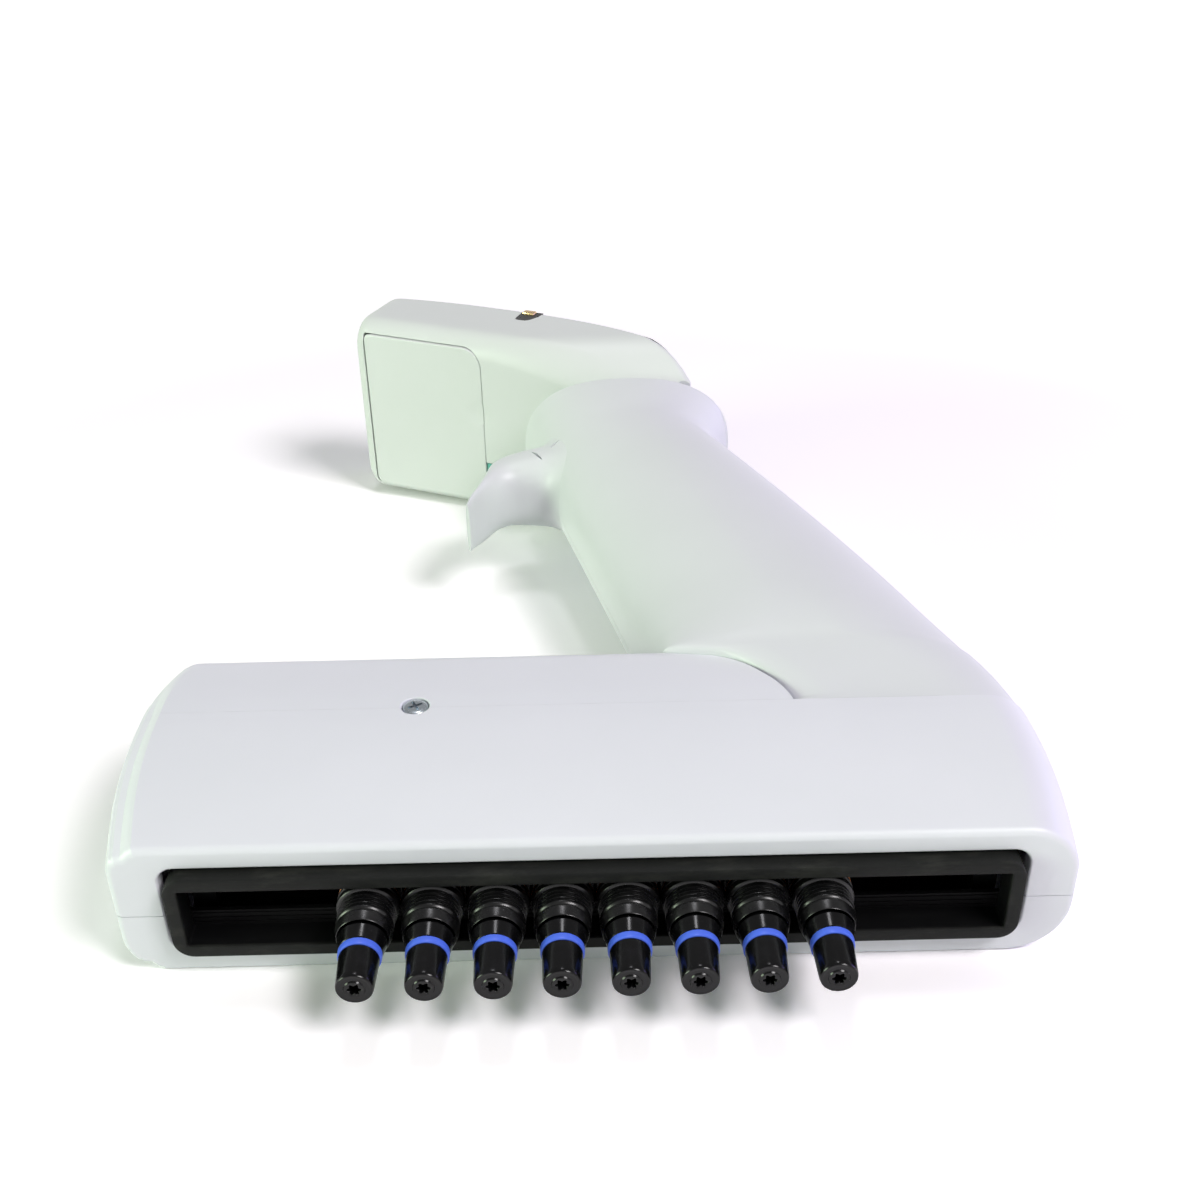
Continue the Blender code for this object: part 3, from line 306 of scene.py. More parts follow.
def ranged(tree, value, low, high, start=0.0, stop=1.0):
    """A value between start and stop carried over to a range from low to high."""
    return add(tree, "ShaderNodeMapRange", {
        "Value": value, "From Min": start, "From Max": stop, "To Min": low,
        "To Max": high}).outputs["Result"]


def combine(tree, operation, a, b):
    """Two values put through a math node."""
    return add(tree, "ShaderNodeMath", {0: a, 1: b}, operation=operation).outputs["Value"]


def bump(tree, height, strength, depth_mm):
    """A bump of a real depth, as a normal."""
    return add(tree, "ShaderNodeBump", {
        "Height": height, "Strength": strength,
        "Distance": depth_mm / 1000}).outputs["Normal"]


def new_material(name, **shader_values):
    """A material with its Principled shader set, its tree and its object coordinates."""
    mat = bpy.data.materials.new(name)
    mat.use_nodes = True
    tree = mat.node_tree
    shader = tree.nodes["Principled BSDF"]
    for key, value in shader_values.items():
        shader.inputs[key.replace("_", " ")].default_value = value
    place = add(tree, "ShaderNodeTexCoord").outputs["Object"]
    return mat, tree, shader, place


# %% [markdown]
# ### Moulded ABS
#
# Common name: ABS, injection moulded in a fine spark-eroded cavity. The eye reads it as
# an even off-white with soft highlights. The grain is about 0.12 mm, too fine to show here,
# so it is drawn at 0.3 mm and very shallow. A broad noise varies the tone a little, as
# handling and age do.

# %% Moulded ABS
GRAIN_MM, CLOUD_MM = 0.3, 22.0


def moulded_abs(name, colour, tired, roughness):
    """Off-white ABS with faint grain and a slight change of tone."""
    mat, tree, shader, place = new_material(name, IOR=1.53, Roughness=roughness)
    cloud = noise(tree, place, CLOUD_MM, 3.0, 0.55)
    grain = noise(tree, place, GRAIN_MM)
    feed(tree, shader, {
        "Base Color": blend(tree, cloud, linear(colour), linear(tired)),
        "Roughness": ranged(tree, grain, roughness - 0.04, roughness + 0.05),
        "Normal": bump(tree, grain, 0.05, 0.05)})
    return mat


# These three tones are one ABS. The lighter nose and rear cover and the darker head are painted light and shade,
# set to how brightly each part is lit.
nose_abs_painted_light = moulded_abs("moulded_abs_nose_painted_light", "#E9EAF1", "#E2E4EA", 0.38)
body_abs = moulded_abs("moulded_abs_body", "#E2E4E8", "#DCDFE1", 0.40)
head_abs_painted_shade = moulded_abs("moulded_abs_head_painted_shade", "#DFE2E2", "#D9DDDB", 0.40)
print("three tones of ABS")

# %% [markdown]
# ### Black plastics
#
# The nozzles are a filled engineering plastic, turned and polished: nearly black with
# clear highlights and a few pale specks of dust. Their sleeves are moulded and a little
# duller. The frame and the insides are matte, with a visible grain and pale scuffs that
# run along them.

# %% Polished and grained black
DUST_MM, SCUFF_MM, COARSE_MM = 0.55, 2.5, 0.4
DUST = "#8C8E93"


def black_plastic(name, colour, scuffed, roughness, dust, stretch=(1, 1, 1), bump_mm=0.02,
                  specular=0.18):
    """Black plastic with dust specks and faint scuffs."""
    mat, tree, shader, place = new_material(name, IOR=1.5, Roughness=roughness,
                                            Specular_IOR_Level=specular)
    spread = add(tree, "ShaderNodeMapping", {"Vector": place, "Scale": stretch})
    scuff = noise(tree, spread.outputs["Vector"], SCUFF_MM, 5.0, 0.65)
    tone = blend(tree, ranged(tree, scuff, 0.0, 1.0, 0.5, 0.8), linear(colour),
                 linear(scuffed))
    cells = add(tree, "ShaderNodeTexVoronoi", {"Vector": place, "Scale": 1000 / DUST_MM})
    speck = ranged(tree, cells.outputs["Distance"], 0.0, 1.0, 0.10, 0.04)
    rare = combine(tree, "GREATER_THAN", cells.outputs["Color"], 1 - dust)
    chosen = combine(tree, "MULTIPLY", speck, rare)
    feed(tree, shader, {
        "Base Color": blend(tree, chosen, tone, linear(DUST)),
        "Roughness": ranged(tree, scuff, roughness - 0.06, roughness + 0.10),
        "Normal": bump(tree, noise(tree, place, COARSE_MM), 0.3, bump_mm)})
    return mat


polished_black = black_plastic("polished_black_plastic", "#09090A", "#141417", 0.18, 0.05,
                               bump_mm=0.002, specular=0.28)
ribbed_black = black_plastic("moulded_black_plastic", "#09090A", "#191918", 0.26, 0.14,
                             bump_mm=0.01, specular=0.5)
grained_black = black_plastic("grained_black_plastic", "#171817", "#2E2F2B", 0.60, 0.10,
                              stretch=(0.3, 1, 1), bump_mm=0.05)
inner_black = black_plastic("inner_black_plastic", "#0B0B0C", "#171818", 0.45, 0.06,
                            stretch=(0.15, 1, 1))
print("four blacks")

# %% [markdown]
# ### Small finishes
#
# The rings that tell the nozzles' size are dyed blue polypropylene, a little waxy. The
# screw is zinc plated steel, the springs copper coloured wire, the contacts gold plated,
# the latch teal ABS, and the display dark glass-clear acrylic.

# %% Plain plastics, metals and the display
PLASTIC_IOR = 1.5


def plain(name, colour, roughness, metallic=0.0, grain_mm=0.5, change=0.06):
    """A simple finish whose roughness and tone vary a little with a real grain."""
    mat, tree, shader, place = new_material(name, Roughness=roughness, Metallic=metallic)
    if not metallic:
        shader.inputs["IOR"].default_value = PLASTIC_IOR
    grain = noise(tree, place, grain_mm, 3.0)
    darker = [c * (1 - change) for c in linear(colour)[:3]] + [1]
    feed(tree, shader, {
        "Roughness": ranged(tree, grain, max(0.02, roughness - change), roughness + change),
        "Base Color": blend(tree, grain, linear(colour), darker)})
    return mat


blue_pp = plain("dyed_blue_polypropylene", "#5274F2", 0.34)
zinc_steel = plain("zinc_plated_steel", "#C9D3D8", 0.26, 1.0, grain_mm=0.3)
ground_steel = plain("ground_steel", "#8E9093", 0.32, 1.0, grain_mm=0.2)
copper_wire = plain("copper_coloured_wire", "#B97F5C", 0.35, 1.0, grain_mm=0.3)
gold_plate = plain("gold_plated_contact", "#F3D3A0", 0.28, 1.0, grain_mm=0.3)
teal_abs = plain("dyed_teal_abs", "#5FB5A8", 0.42)
grey_abs = plain("moulded_grey_abs", "#8F9397", 0.45, grain_mm=0.3)
dark_acrylic = plain("dark_acrylic_window", "#12171C", 0.07, change=0.02, grain_mm=6.0)
board_lacquer = plain("lacquered_circuit_board", "#1B4A33", 0.40)
cell_wrap = plain("shrunk_battery_film", "#27313A", 0.35)
print("small finishes ready")

# %% [markdown]
# ## Finishing a piece
#
# Each piece is modelled upright in millimetres, and the last step lays it down. The
# object stays at the origin, because its pattern reads it there.
# Round faces shade smooth and true edges stay sharp. Weighted normals keep large flat
# faces flat beside their small roundings.

# %% Lay a piece down and hand it over
def finish_piece(bm, name, material, body, stands_for=(), where=UPRIGHT, sharp=32):
    """The finished object for a bmesh, riding on its body."""
    moved(bm, LAY @ where)
    mesh = bpy.data.meshes.new(name)
    bm.to_mesh(mesh)
    bm.free()
    mesh.materials.append(material)
    mesh.shade_smooth()
    mesh.set_sharp_from_angle(angle=math.radians(sharp))
    ob = bpy.data.objects.new(name, mesh)
    bpy.context.scene.collection.objects.link(ob)
    weighted = ob.modifiers.new("weighted_normals", "WEIGHTED_NORMAL")
    weighted.keep_sharp = True
    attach(ob, body)
    if stands_for:
        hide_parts(*stands_for)
    return ob


# %% [markdown]
# ## The nose
#
# The nose is two half shells that meet low on the sides. Its outline grows from the front
# slot to a crease where the rear cover and the handle's foot begin. All four corners have
# their own radius, and the left edge has a sunk ledge above and below. Just before the
# crease the top turns down a little and recovers behind it, which reads as one soft line.
#
# The front slot, the front face, the rounded edge, the outside and the inside wall are one
# continuous skin. It starts at the slot, runs out over the front face and back along the
# sides, turns round the rear edge and returns inside, so no Boolean has to clean it up.

# %% The nose's sizes
WALL = 2.2
NOSE_Y = 15.5
CREASE_Y = 44.6
NOSE_LEFT, NOSE_RIGHT = 66.7, 66.9
NOSE_TOP, NOSE_UNDER = 10.85, 11.5
CREASE_LEFT, CREASE_RIGHT, CREASE_HALF = 69.4, 67.5, 13.0
BOW_LEFT, BOW_RIGHT, BOW_TOP = 0.8, 0.74, 0.6
NOSE_RADII = (8.0, 4.5, 6.0, 8.8)
FRONT_EDGE_R, SMALLEST_R = 1.0, 0.8
SPLIT_Z = -1.0
SEAM, SPLIT_GAP = 0.02, 0.06
CORNER_STEPS = 15
LEDGE_DEPTH, LEDGE_FLOOR, LEDGE_WALL, LEDGE_END = 1.5, 1.2, 1.6, 12
LIP, LIP_DROP, FOOT_R, FOOT_DROP = 0.35, 0.25, 0.45, 0.30
CROWN_Y, CROWN_DROP = 40.3, 0.012
CROWN_SHORT, CROWN_LONG = 6.0, 10.0


# %% The ledge in the left corners
def ledge_share(y):
    """How deep the ledge is at a height: it runs out to nothing on the rear cover."""
    return 1 - smooth((y - CREASE_Y) / LEDGE_END) if y > CREASE_Y else 1.0


def ledge_corner(r):
    """A corner with a ledge, from the flat face to the side, as offsets from the corner:
    a rounded lip, a slanted wall down to a narrow floor, then the side."""
    side = r - math.sqrt(r * r - (r - LEDGE_DEPTH) ** 2)
    foot = side + LEDGE_FLOOR
    points = []
    for i in range(4):
        a = math.pi / 6 * i
        points.append((foot + LEDGE_WALL + LIP - LIP * math.sin(a),
                       -LIP_DROP + LIP_DROP * math.cos(a)))
    for i in range(3):
        points.append((foot + 0.1 + LEDGE_WALL * (2 - i) / 3 * 0.9,
                       -LEDGE_DEPTH * (0.3 + 0.33 * i)))
    for i in range(4):
        a = math.pi / 6 * i
        points.append((side + FOOT_R - FOOT_R * math.sin(a) * 0.9,
                       -LEDGE_DEPTH - FOOT_DROP * (1 - math.cos(a))))
    first = math.asin((r - LEDGE_DEPTH - FOOT_R) / r)
    for i in range(5):
        a = first * (1 - i / 4)
        points.append((r - r * math.cos(a), -r + r * math.sin(a)))
    return points


def with_ledge(points, left, top, under, radii, share, inset=0.0):
    """An outline whose two left corners are sunk to a ledge, by a share."""
    n = CORNER_STEPS + 1
    upper = [(-left + inset + dx, top - inset + dz) for dx, dz in ledge_corner(radii[1])]
    lower = [(-left + inset + dx, -under + inset - dz)
             for dx, dz in ledge_corner(radii[2])][::-1]
    for first, sunk in ((n, upper), (2 * n, lower)):
        for i in range(n):
            points[first + i] = Vector(points[first + i]).lerp(Vector(sunk[i]), share)
    return points


# %% The nose's outline
def crowned(points, y, run):
    """An outline whose top turns down a little on its way to the crease and recovers
    after it, over a run."""
    if y < CREASE_Y:
        share = max(0.0, (y - CROWN_Y) / (CREASE_Y - CROWN_Y))
    else:
        share = 1 - smooth((y - CREASE_Y) / run)
    return at_y([(x, z * (1 - CROWN_DROP * share) if z > 0 else z) for x, z in points], y)


def nose_outline(y, inset=0.0, ledge=0.0):
    """The nose's outline at a height, with its ledge sunk by a share."""
    t = (y - NOSE_Y) / (CREASE_Y - NOSE_Y)
    bow = math.sin(math.pi * min(1.0, max(0.0, t)))
    left = NOSE_LEFT + (CREASE_LEFT - NOSE_LEFT) * t + BOW_LEFT * bow
    right = NOSE_RIGHT + (CREASE_RIGHT - NOSE_RIGHT) * t + BOW_RIGHT * bow
    top = NOSE_TOP + (CREASE_HALF - NOSE_TOP) * t + BOW_TOP * bow
    under = NOSE_UNDER + (CREASE_HALF - NOSE_UNDER) * t
    radii = [max(SMALLEST_R, r - inset) for r in NOSE_RADII]
    points = rounded(-left + inset, right - inset, -under + inset, top - inset, radii,
                     CORNER_STEPS)
    if ledge:
        points = with_ledge(points, left, top, under, radii, ledge, inset)
    return crowned(points, y, CROWN_SHORT)


# %% The front slot and the nose's skin
FRAME_HALF_X, FRAME_HALF_Z, FRAME_R = 59.0, 7.05, 3.0
SLOT_PLAY, SLOT_R, SLOT_EDGE_R = 0.4, 2.4, 0.4


def slot_outline(y, out=0.0):
    """The slot's outline, larger all round by a rounding."""
    half_x = FRAME_HALF_X + 2 * SLOT_PLAY + out
    half_z = FRAME_HALF_Z + SLOT_PLAY + out
    return at_y(rounded(-half_x, half_x, -half_z, half_z, [SLOT_R + out] * 4,
                        CORNER_STEPS), y)


def nose_skin():
    """The whole nose as one closed wall."""
    run = [nose_outline(CREASE_Y - SEAM, WALL), nose_outline(30, WALL),
           nose_outline(NOSE_Y + WALL, WALL), slot_outline(NOSE_Y + WALL),
           slot_outline(NOSE_Y + SLOT_EDGE_R)]
    for i in range(1, 5):
        a = math.pi / 8 * i
        run.append(slot_outline(NOSE_Y + SLOT_EDGE_R - SLOT_EDGE_R * math.sin(a),
                                SLOT_EDGE_R - SLOT_EDGE_R * math.cos(a)))
    for i in range(7):
        a = math.pi / 12 * i
        run.append(nose_outline(NOSE_Y + FRONT_EDGE_R * (1 - math.cos(a)),
                                FRONT_EDGE_R * (1 - math.sin(a)), 1.0))
    for y in spaced(17.5, 39.5, 12) + spaced(CROWN_Y, CREASE_Y - 0.3, 6):
        run.append(nose_outline(y, 0.0, 1.0))
    run.append([v.copy() for v in nose_outline(CREASE_Y - SEAM, 0.0, 1.0)])
    run.append(nose_outline(CREASE_Y - SEAM, WALL))
    return skin(run, ends=False)


# %% The screw's well, and the two halves
SCREW_X, SCREW_Y, SCREW_Z, SCREW_R = -26.7, 45.2, 12.3, 1.95
WELL_R = SCREW_R + 0.18


def screw_point(rise):
    """A point on the screw's axis, above its seat."""
    return SCREW_X, SCREW_Y, SCREW_Z + rise


well = rod(WELL_R, screw_point(-0.9), (SCREW_X, SCREW_Y, CREASE_HALF + 3))
well = carve(well, rod(WELL_R, screw_point(0.3), screw_point(1.1),
                       far_radius=SCREW_R + 0.9), "UNION")
nose_top = carve(halve(nose_skin(), SPLIT_Z + SPLIT_GAP, 1), well.copy())
nose_floor = halve(nose_skin(), SPLIT_Z - SPLIT_GAP, -1)
finish_piece(nose_top, "nose_top_shell", nose_abs_painted_light, "housing", ["nose_upper"])
finish_piece(nose_floor, "nose_floor_shell", nose_abs_painted_light, "housing", ["nose_under"])
print("nose skinned, two half shells")

# %% [markdown]
# ## The handle
#
# The handle is a long hollow grip. Its left side is straight and ends in a foot that
# sweeps out over the rear cover. Its right side is bowed, with a flare under the collar
# where the thumb rests. A soft facet line runs up its face: left of it the surface turns
# gently away. The sections are superellipses, nearly square at the foot and rounder above.
# The wall is thin inside, where the plate of the pistons slides past it.

# %% The handle's sizes
FOOT_X, FOOT_PEAK_X, FOOT_LOW_Y, FOOT_BEND = 31.5, 18.2, 43.0, 1.6
LEFT_X, LEFT_Y, LEFT_SLOPE = 11.8, 60.0, 0.2515
RIGHT_REACH, RIGHT_RUN, RIGHT_BEND = 33.4, 90.2, 1.3
FLARE_Y = RIM_Y - 16.0
RIM_RIGHT_X = 31.7
HANDLE_HALF, RIM_HALF, HANDLE_WALL = 15.0, 16.5, 2.4
FACET_FOOT_X, FACET_SLOPE, FACET_FALL = 37.4, 0.249, 0.12
RIGHT_POWER, RIGHT_SOFTER = 3.6, 1.1
LEFT_POWER, LEFT_SQUARER, FOOT_POWER = 2.5, 2.0, 22.0
HANDLE_BASE = CREASE_Y + SEAM
HANDLE_SPLIT_GAP = 0.03
INNER_WALL = ((FLARE_Y, HANDLE_WALL), (124, 1.5), (96, 1.2), (82, 1.2), (72, 1.2),
              (65, 1.1), (57, 1.1), (50, 1.1), (HANDLE_BASE, 1.1))
LIP_R = 1.2


# %% The handle's outlines
def handle_left(y):
    """The handle's left outline: a straight side, and a rounded foot that sweeps out to the
    right over the rear cover."""
    straight = LEFT_X - LEFT_SLOPE * (y - LEFT_Y)
    reach = min(1.0, max(0.0, (y - FOOT_LOW_Y) / (LEFT_Y - FOOT_LOW_Y)))
    sweep = (1 - reach ** FOOT_BEND) ** (1 / FOOT_BEND)
    foot = FOOT_PEAK_X + (FOOT_X - FOOT_PEAK_X) * sweep
    return foot + (straight - foot) * smooth((y - LEFT_Y + 0.4) / 2.4)


def bowed(y):
    """The bow of the handle's right side, without the flare."""
    return CREASE_RIGHT - RIGHT_REACH * (max(0.0, y - CREASE_Y) / RIGHT_RUN) ** RIGHT_BEND


def handle_right(y):
    """The handle's right outline: bowed, with the thumb flare under the rim."""
    t = max(0.0, y - FLARE_Y) / (RIM_Y - FLARE_Y)
    return bowed(y) + (RIM_RIGHT_X - bowed(RIM_Y)) * t ** 2 * (1.6 - 0.6 * t)


def handle_section(y):
    """What describes the handle's section at a height."""
    half = CREASE_HALF + (HANDLE_HALF - CREASE_HALF) * smooth((y - CREASE_Y) / 30)
    half += (RIM_HALF - HANDLE_HALF) * smooth((y - FLARE_Y) / (RIM_Y - FLARE_Y))
    right_power = RIGHT_POWER - RIGHT_SOFTER * smooth((y - CREASE_Y) / 30)
    left_power = LEFT_POWER + LEFT_SQUARER * (1 - smooth((y - LEFT_Y) / 24))
    left_power += (FOOT_POWER - LEFT_POWER - LEFT_SQUARER) * (
        1 - smooth((y - LEFT_Y + 2) / 8))
    fall = FACET_FALL * smooth((y - CREASE_Y) / 1.6)
    fall *= 1 - smooth((y - FLARE_Y + 20) / (RIM_Y - FLARE_Y + 16))
    return handle_left(y), handle_right(y), half, left_power, right_power, fall


def facet_drop(x, y, fall):
    """How far the face has dropped at a point left of the facet line, in millimetres."""
    over = FACET_FOOT_X - FACET_SLOPE * (y - CREASE_Y) - x
    return fall * (over + math.sqrt(over * over + 0.25)) / 2


def handle_outline(y, inset=0.0, count=128):
    """The handle's outline at a height, its face bent along the soft facet line."""
    left, right, half, left_power, right_power, fall = handle_section(y)
    points = []
    for i in range(count):
        a = math.tau * (i + 0.5) / count
        c, s = math.cos(a), math.sin(a)
        power = right_power if c > 0 else left_power
        x = (left + right) / 2 + ((right - left) / 2 - inset) * math.copysign(
            abs(c) ** (2 / power), c)
        level = abs(s) ** (2 / power)
        z = (half - inset - facet_drop(x, y, fall)) * level
        points.append((x, math.copysign(z, s)))
    return crowned(points, y, CROWN_LONG)


def handle_side(y, z):
    """Where the handle's left surface is at a height and level."""
    left, right, half, power, _, fall = handle_section(y)
    x = left
    for _ in range(4):
        level = min(1.0, abs(z) / (half - facet_drop(x, y, fall)))
        x = (left + right) / 2 - (right - left) / 2 * (1 - level ** power) ** (1 / power)
    return x


# %% Skin the handle and split it
foot_heights = spaced(HANDLE_BASE, HANDLE_BASE + 1.8, 5) + spaced(47.5, 57.5, 11)
foot_heights += spaced(58.2, 59.7, 5)
corner_heights = spaced(LEFT_Y + 0.2, LEFT_Y + 2.4, 6)
side_heights = corner_heights + spaced(LEFT_Y + 4, FLARE_Y, 18)
flare_heights = spaced(FLARE_Y + 1.5, RIM_Y - 1.2, 9)


def handle_skin():
    """The handle as one closed wall with a rounded lip at the collar."""
    run = [handle_outline(y) for y in foot_heights + side_heights + flare_heights]
    for i in range(1, 7):
        a = math.pi / 12 * i
        run.append([Vector((p.x, RIM_Y - LIP_R + LIP_R * math.sin(a), p.z))
                    for p in handle_outline(RIM_Y, LIP_R - LIP_R * math.cos(a))])
    run.append(handle_outline(RIM_Y, HANDLE_WALL))
    run += [handle_outline(y, wall) for y, wall in INNER_WALL]
    run.append(run[0])
    return skin(run, ends=False)


handle_top = halve(handle_skin(), SPLIT_Z + HANDLE_SPLIT_GAP, 1)
handle_floor = halve(handle_skin(), SPLIT_Z - HANDLE_SPLIT_GAP, -1)
finish_piece(handle_top, "handle_top_shell", body_abs, "housing", ["handle_upper"])
finish_piece(handle_floor, "handle_floor_shell", body_abs, "housing", ["handle_under"])
print("handle skinned from", len(foot_heights + side_heights + flare_heights), "outlines")

# %% [markdown]
# ## The rear cover
#
# Behind the crease the nose goes on as a low cover that falls towards its back edge. The
# handle's foot stands over it, so the cover is cut along the foot's outline. A gap is left
# that closes towards the back, and its shadow draws the foot's edge.

# %% The rear cover's outlines
COVER_BACK_Y, COVER_BACK_LEFT, COVER_BACK_HALF = 63.1, 66.6, 10.8
COVER_RIGHT, COVER_ROUND, COVER_FLAT = 46, 3.0, 2.2
COVER_R, COVER_R_LESS = 4.5, 1.3
LEFT_BEND, HALF_BEND = 1.9, 1.3


def cover_outline(y, inset=0.0, roll=0.0):
    """The rear cover's outline at a height. At the left the roll of its back edge is only
    half as deep."""
    t = min(1.0, max(0.0, (y - CREASE_Y) / (COVER_BACK_Y - COVER_FLAT - CREASE_Y)))
    left = CREASE_LEFT + (COVER_BACK_LEFT - CREASE_LEFT) * t ** LEFT_BEND
    half = CREASE_HALF + (COVER_BACK_HALF - CREASE_HALF) * t ** HALF_BEND
    r = max(SMALLEST_R, COVER_R - COVER_R_LESS * t - inset)
    deep = inset + roll
    points = rounded(-left + inset + roll / 2, COVER_RIGHT, -half + deep, half - deep,
                     [0.2, r, r, 0.2], CORNER_STEPS)
    share = ledge_share(y)
    if share > 0 and not inset:
        points = with_ledge(points, left, half, half, [r] * 4, share)
    return crowned(points, y, CROWN_SHORT)


def cover_skin():
    """The rear cover's solid, its back edge rolled over."""
    start = COVER_BACK_Y - COVER_ROUND
    run = [cover_outline(CREASE_Y + SEAM)]
    run += [cover_outline(y) for y in spaced(CREASE_Y + 0.4, start, 24)]
    for i in range(1, 9):
        a = math.pi / 2 * i / 8
        rolled = cover_outline(COVER_BACK_Y, 0.0, COVER_ROUND * (1 - math.cos(a)))
        run.append([Vector((p.x, start + COVER_ROUND * math.sin(a), p.z)) for p in rolled])
    return skin(run)


def cover_inside():
    """What is hollow in the rear cover."""
    heights = (CREASE_Y - 2, 50, 55, COVER_BACK_Y - WALL)
    return skin([cover_outline(y, WALL) for y in heights])


# %% The foot's edge as a cutter
FOOT_GAP, GAP_FROM_Y, GAP_RUN = 0.7, 52, 7


def foot_cutter():
    """A solid over the handle's foot, larger than it by the gap."""
    bm = bmesh.new()
    heights = [CREASE_Y - 2] + foot_heights[1:] + corner_heights
    edge = []
    for y in heights:
        gap = FOOT_GAP * (1 - smooth((y - GAP_FROM_Y) / GAP_RUN))
        edge.append((handle_left(y) - gap - SEAM, y))
    edge += [(handle_left(COVER_BACK_Y + 2), COVER_BACK_Y + 2),
             (90, COVER_BACK_Y + 2), (90, CREASE_Y - 2)]
    corners = [bm.verts.new((x, y, -30)) for x, y in edge]
    for pair in zip(corners, corners[1:] + corners[:1]):
        bm.edges.new(pair)
    face = bmesh.ops.contextual_create(bm, geom=bm.edges[:])["faces"]
    raised = bmesh.ops.extrude_face_region(bm, geom=face)["geom"]
    bmesh.ops.translate(bm, vec=(0, 0, 60),
                        verts=[g for g in raised if isinstance(g, bmesh.types.BMVert)])
    bmesh.ops.recalc_face_normals(bm, faces=bm.faces[:])
    return bm


cover = carve(carve(cover_skin(), cover_inside()), foot_cutter())
cover_top = carve(halve(cover.copy(), SPLIT_Z + SEAM, 1), well)
cover_floor = halve(cover, SPLIT_Z - SEAM, -1)
finish_piece(cover_top, "rear_cover_top_shell", nose_abs_painted_light, "housing", ["rear_cover_upper"])
finish_piece(cover_floor, "rear_cover_floor_shell", nose_abs_painted_light, "housing",
             ["rear_cover_under"])
print("rear cover cut along the foot")

# %% [markdown]
# ## The cover screw
#
# A small zinc plated screw with a domed head and a cross recess holds the cover. It sits in
# a countersunk well. The head is spun from a quarter profile, and two crossed blocks cut
# the recess.

# %% Screw with a cross recess
SHANK_R, SHANK, DOME, DOME_POWER = 0.9, 6, 0.34, 0.45
CROSS_TURN = math.radians(28)

screw_profile = [(0, SCREW_Z - SHANK), (SHANK_R, SCREW_Z - SHANK),
                 (SHANK_R, SCREW_Z - 0.05), (SCREW_R - 0.1, SCREW_Z - 0.05),
                 (SCREW_R, SCREW_Z + 0.05)]
for i in range(8):
    a = math.pi / 2 * i / 7
    screw_profile.append((SCREW_R * math.cos(a) ** DOME_POWER,
                          SCREW_Z + 0.12 + DOME * math.sin(a)))
screw = turned([(r, y - SCREW_Z) for r, y in screw_profile])
bmesh.ops.rotate(screw, cent=(0, 0, 0), matrix=Matrix.Rotation(math.pi / 2, 3, "X"),
                 verts=screw.verts[:])
for angle in (CROSS_TURN, CROSS_TURN + math.pi / 2):
    wing = block((-1.15, 1.15), (-0.22, 0.22), (-0.55, 1.0), 0.06)
    bmesh.ops.rotate(wing, cent=(0, 0, 0), verts=wing.verts[:],
                     matrix=Matrix.Rotation(angle, 3, "Z"))
    screw = carve(screw, wing)
finish_piece(screw, "cross_recess_screw", zinc_steel, "housing", ["cover_screw"],
             where=Matrix.Translation((SCREW_X, SCREW_Y, SCREW_Z)))
print("screw head", 2 * SCREW_R, "mm wide")

# %% [markdown]
# ## The finger hook
#
# The hook is a thick comma that thins to a blade. It is a loft of soft rectangles along a
# curved arm, flared at its root where it flows into the handle. Its stations name the
# inner and the outer side of the arm, and a smooth curve between them adds the loops. Two
# short slits at its root are opened with thin tapered blades.

# %% The hook's stations
HOOK_STATIONS = (
    # inner side x and drop under the rim, outer side likewise, half width
    (4.0, 24.6, 4.0, 11.6, 9.2),
    (-3.0, 25.4, -3.0, 12.4, 8.9),
    (-8.6, 26.2, -8.8, 13.0, 8.6),
    (-12.4, 26.4, -14.0, 14.2, 8.0),
    (-15.4, 26.9, -18.0, 15.8, 7.4),
    (-18.0, 28.4, -20.6, 19.2, 7.1),
    (-20.2, 30.9, -21.6, 24.8, 6.8),
    (-21.8, 33.4, -22.7, 29.8, 6.5),
    (-23.1, 35.8, -24.0, 33.6, 6.0),
    (-23.95, 37.7, -24.75, 37.3, 5.4))


def between(stations, t):
    """A point on a smooth curve through the stations, t counting them."""
    i = min(int(t), len(stations) - 2)
    t -= i
    rows = [stations[max(0, min(len(stations) - 1, i + k))] for k in (-1, 0, 1, 2)]
    return [0.5 * (2 * b + (c - a) * t + (2 * a - 5 * b + 4 * c - d) * t ** 2
                   + (3 * b - a - 3 * c + d) * t ** 3) for a, b, c, d in zip(*rows)]


HOOK_SIDES = 64
ARM_POWER, WIDTH_POWER = 0.85, 0.8


def hook_point(t, i):
    """A point of the hook's section at a station, numbered round it."""
    x0, drop0, x1, drop1, half = between(HOOK_STATIONS, t)
    inner = Vector((x0, RIM_Y - drop0, 0))
    outer = Vector((x1, RIM_Y - drop1, 0))
    a = math.tau * (i + 0.5) / HOOK_SIDES
    c, s = math.cos(a), math.sin(a)
    return ((inner + outer) / 2
            + (outer - inner) / 2 * math.copysign(abs(c) ** ARM_POWER, c)
            + Vector((0, 0, half * math.copysign(abs(s) ** WIDTH_POWER, s))))


def hook_root(i):
    """The station where the hook's side line i comes out of the handle."""
    low, high = 0.0, 3.5
    for _ in range(24):
        t = (low + high) / 2
        p = hook_point(t, i)
        if p.x > handle_side(p.y, p.z):
            low = t
        else:
            high = t
    return low


# %% The hook's fillet and loops
FILLET_INNER, FILLET_OUTER, FILLET_SIDE = 6.5, 1.2, 4.2
STATION_MM = 5.6
FILLET_LOOPS, ARM_LOOPS = 10, 36


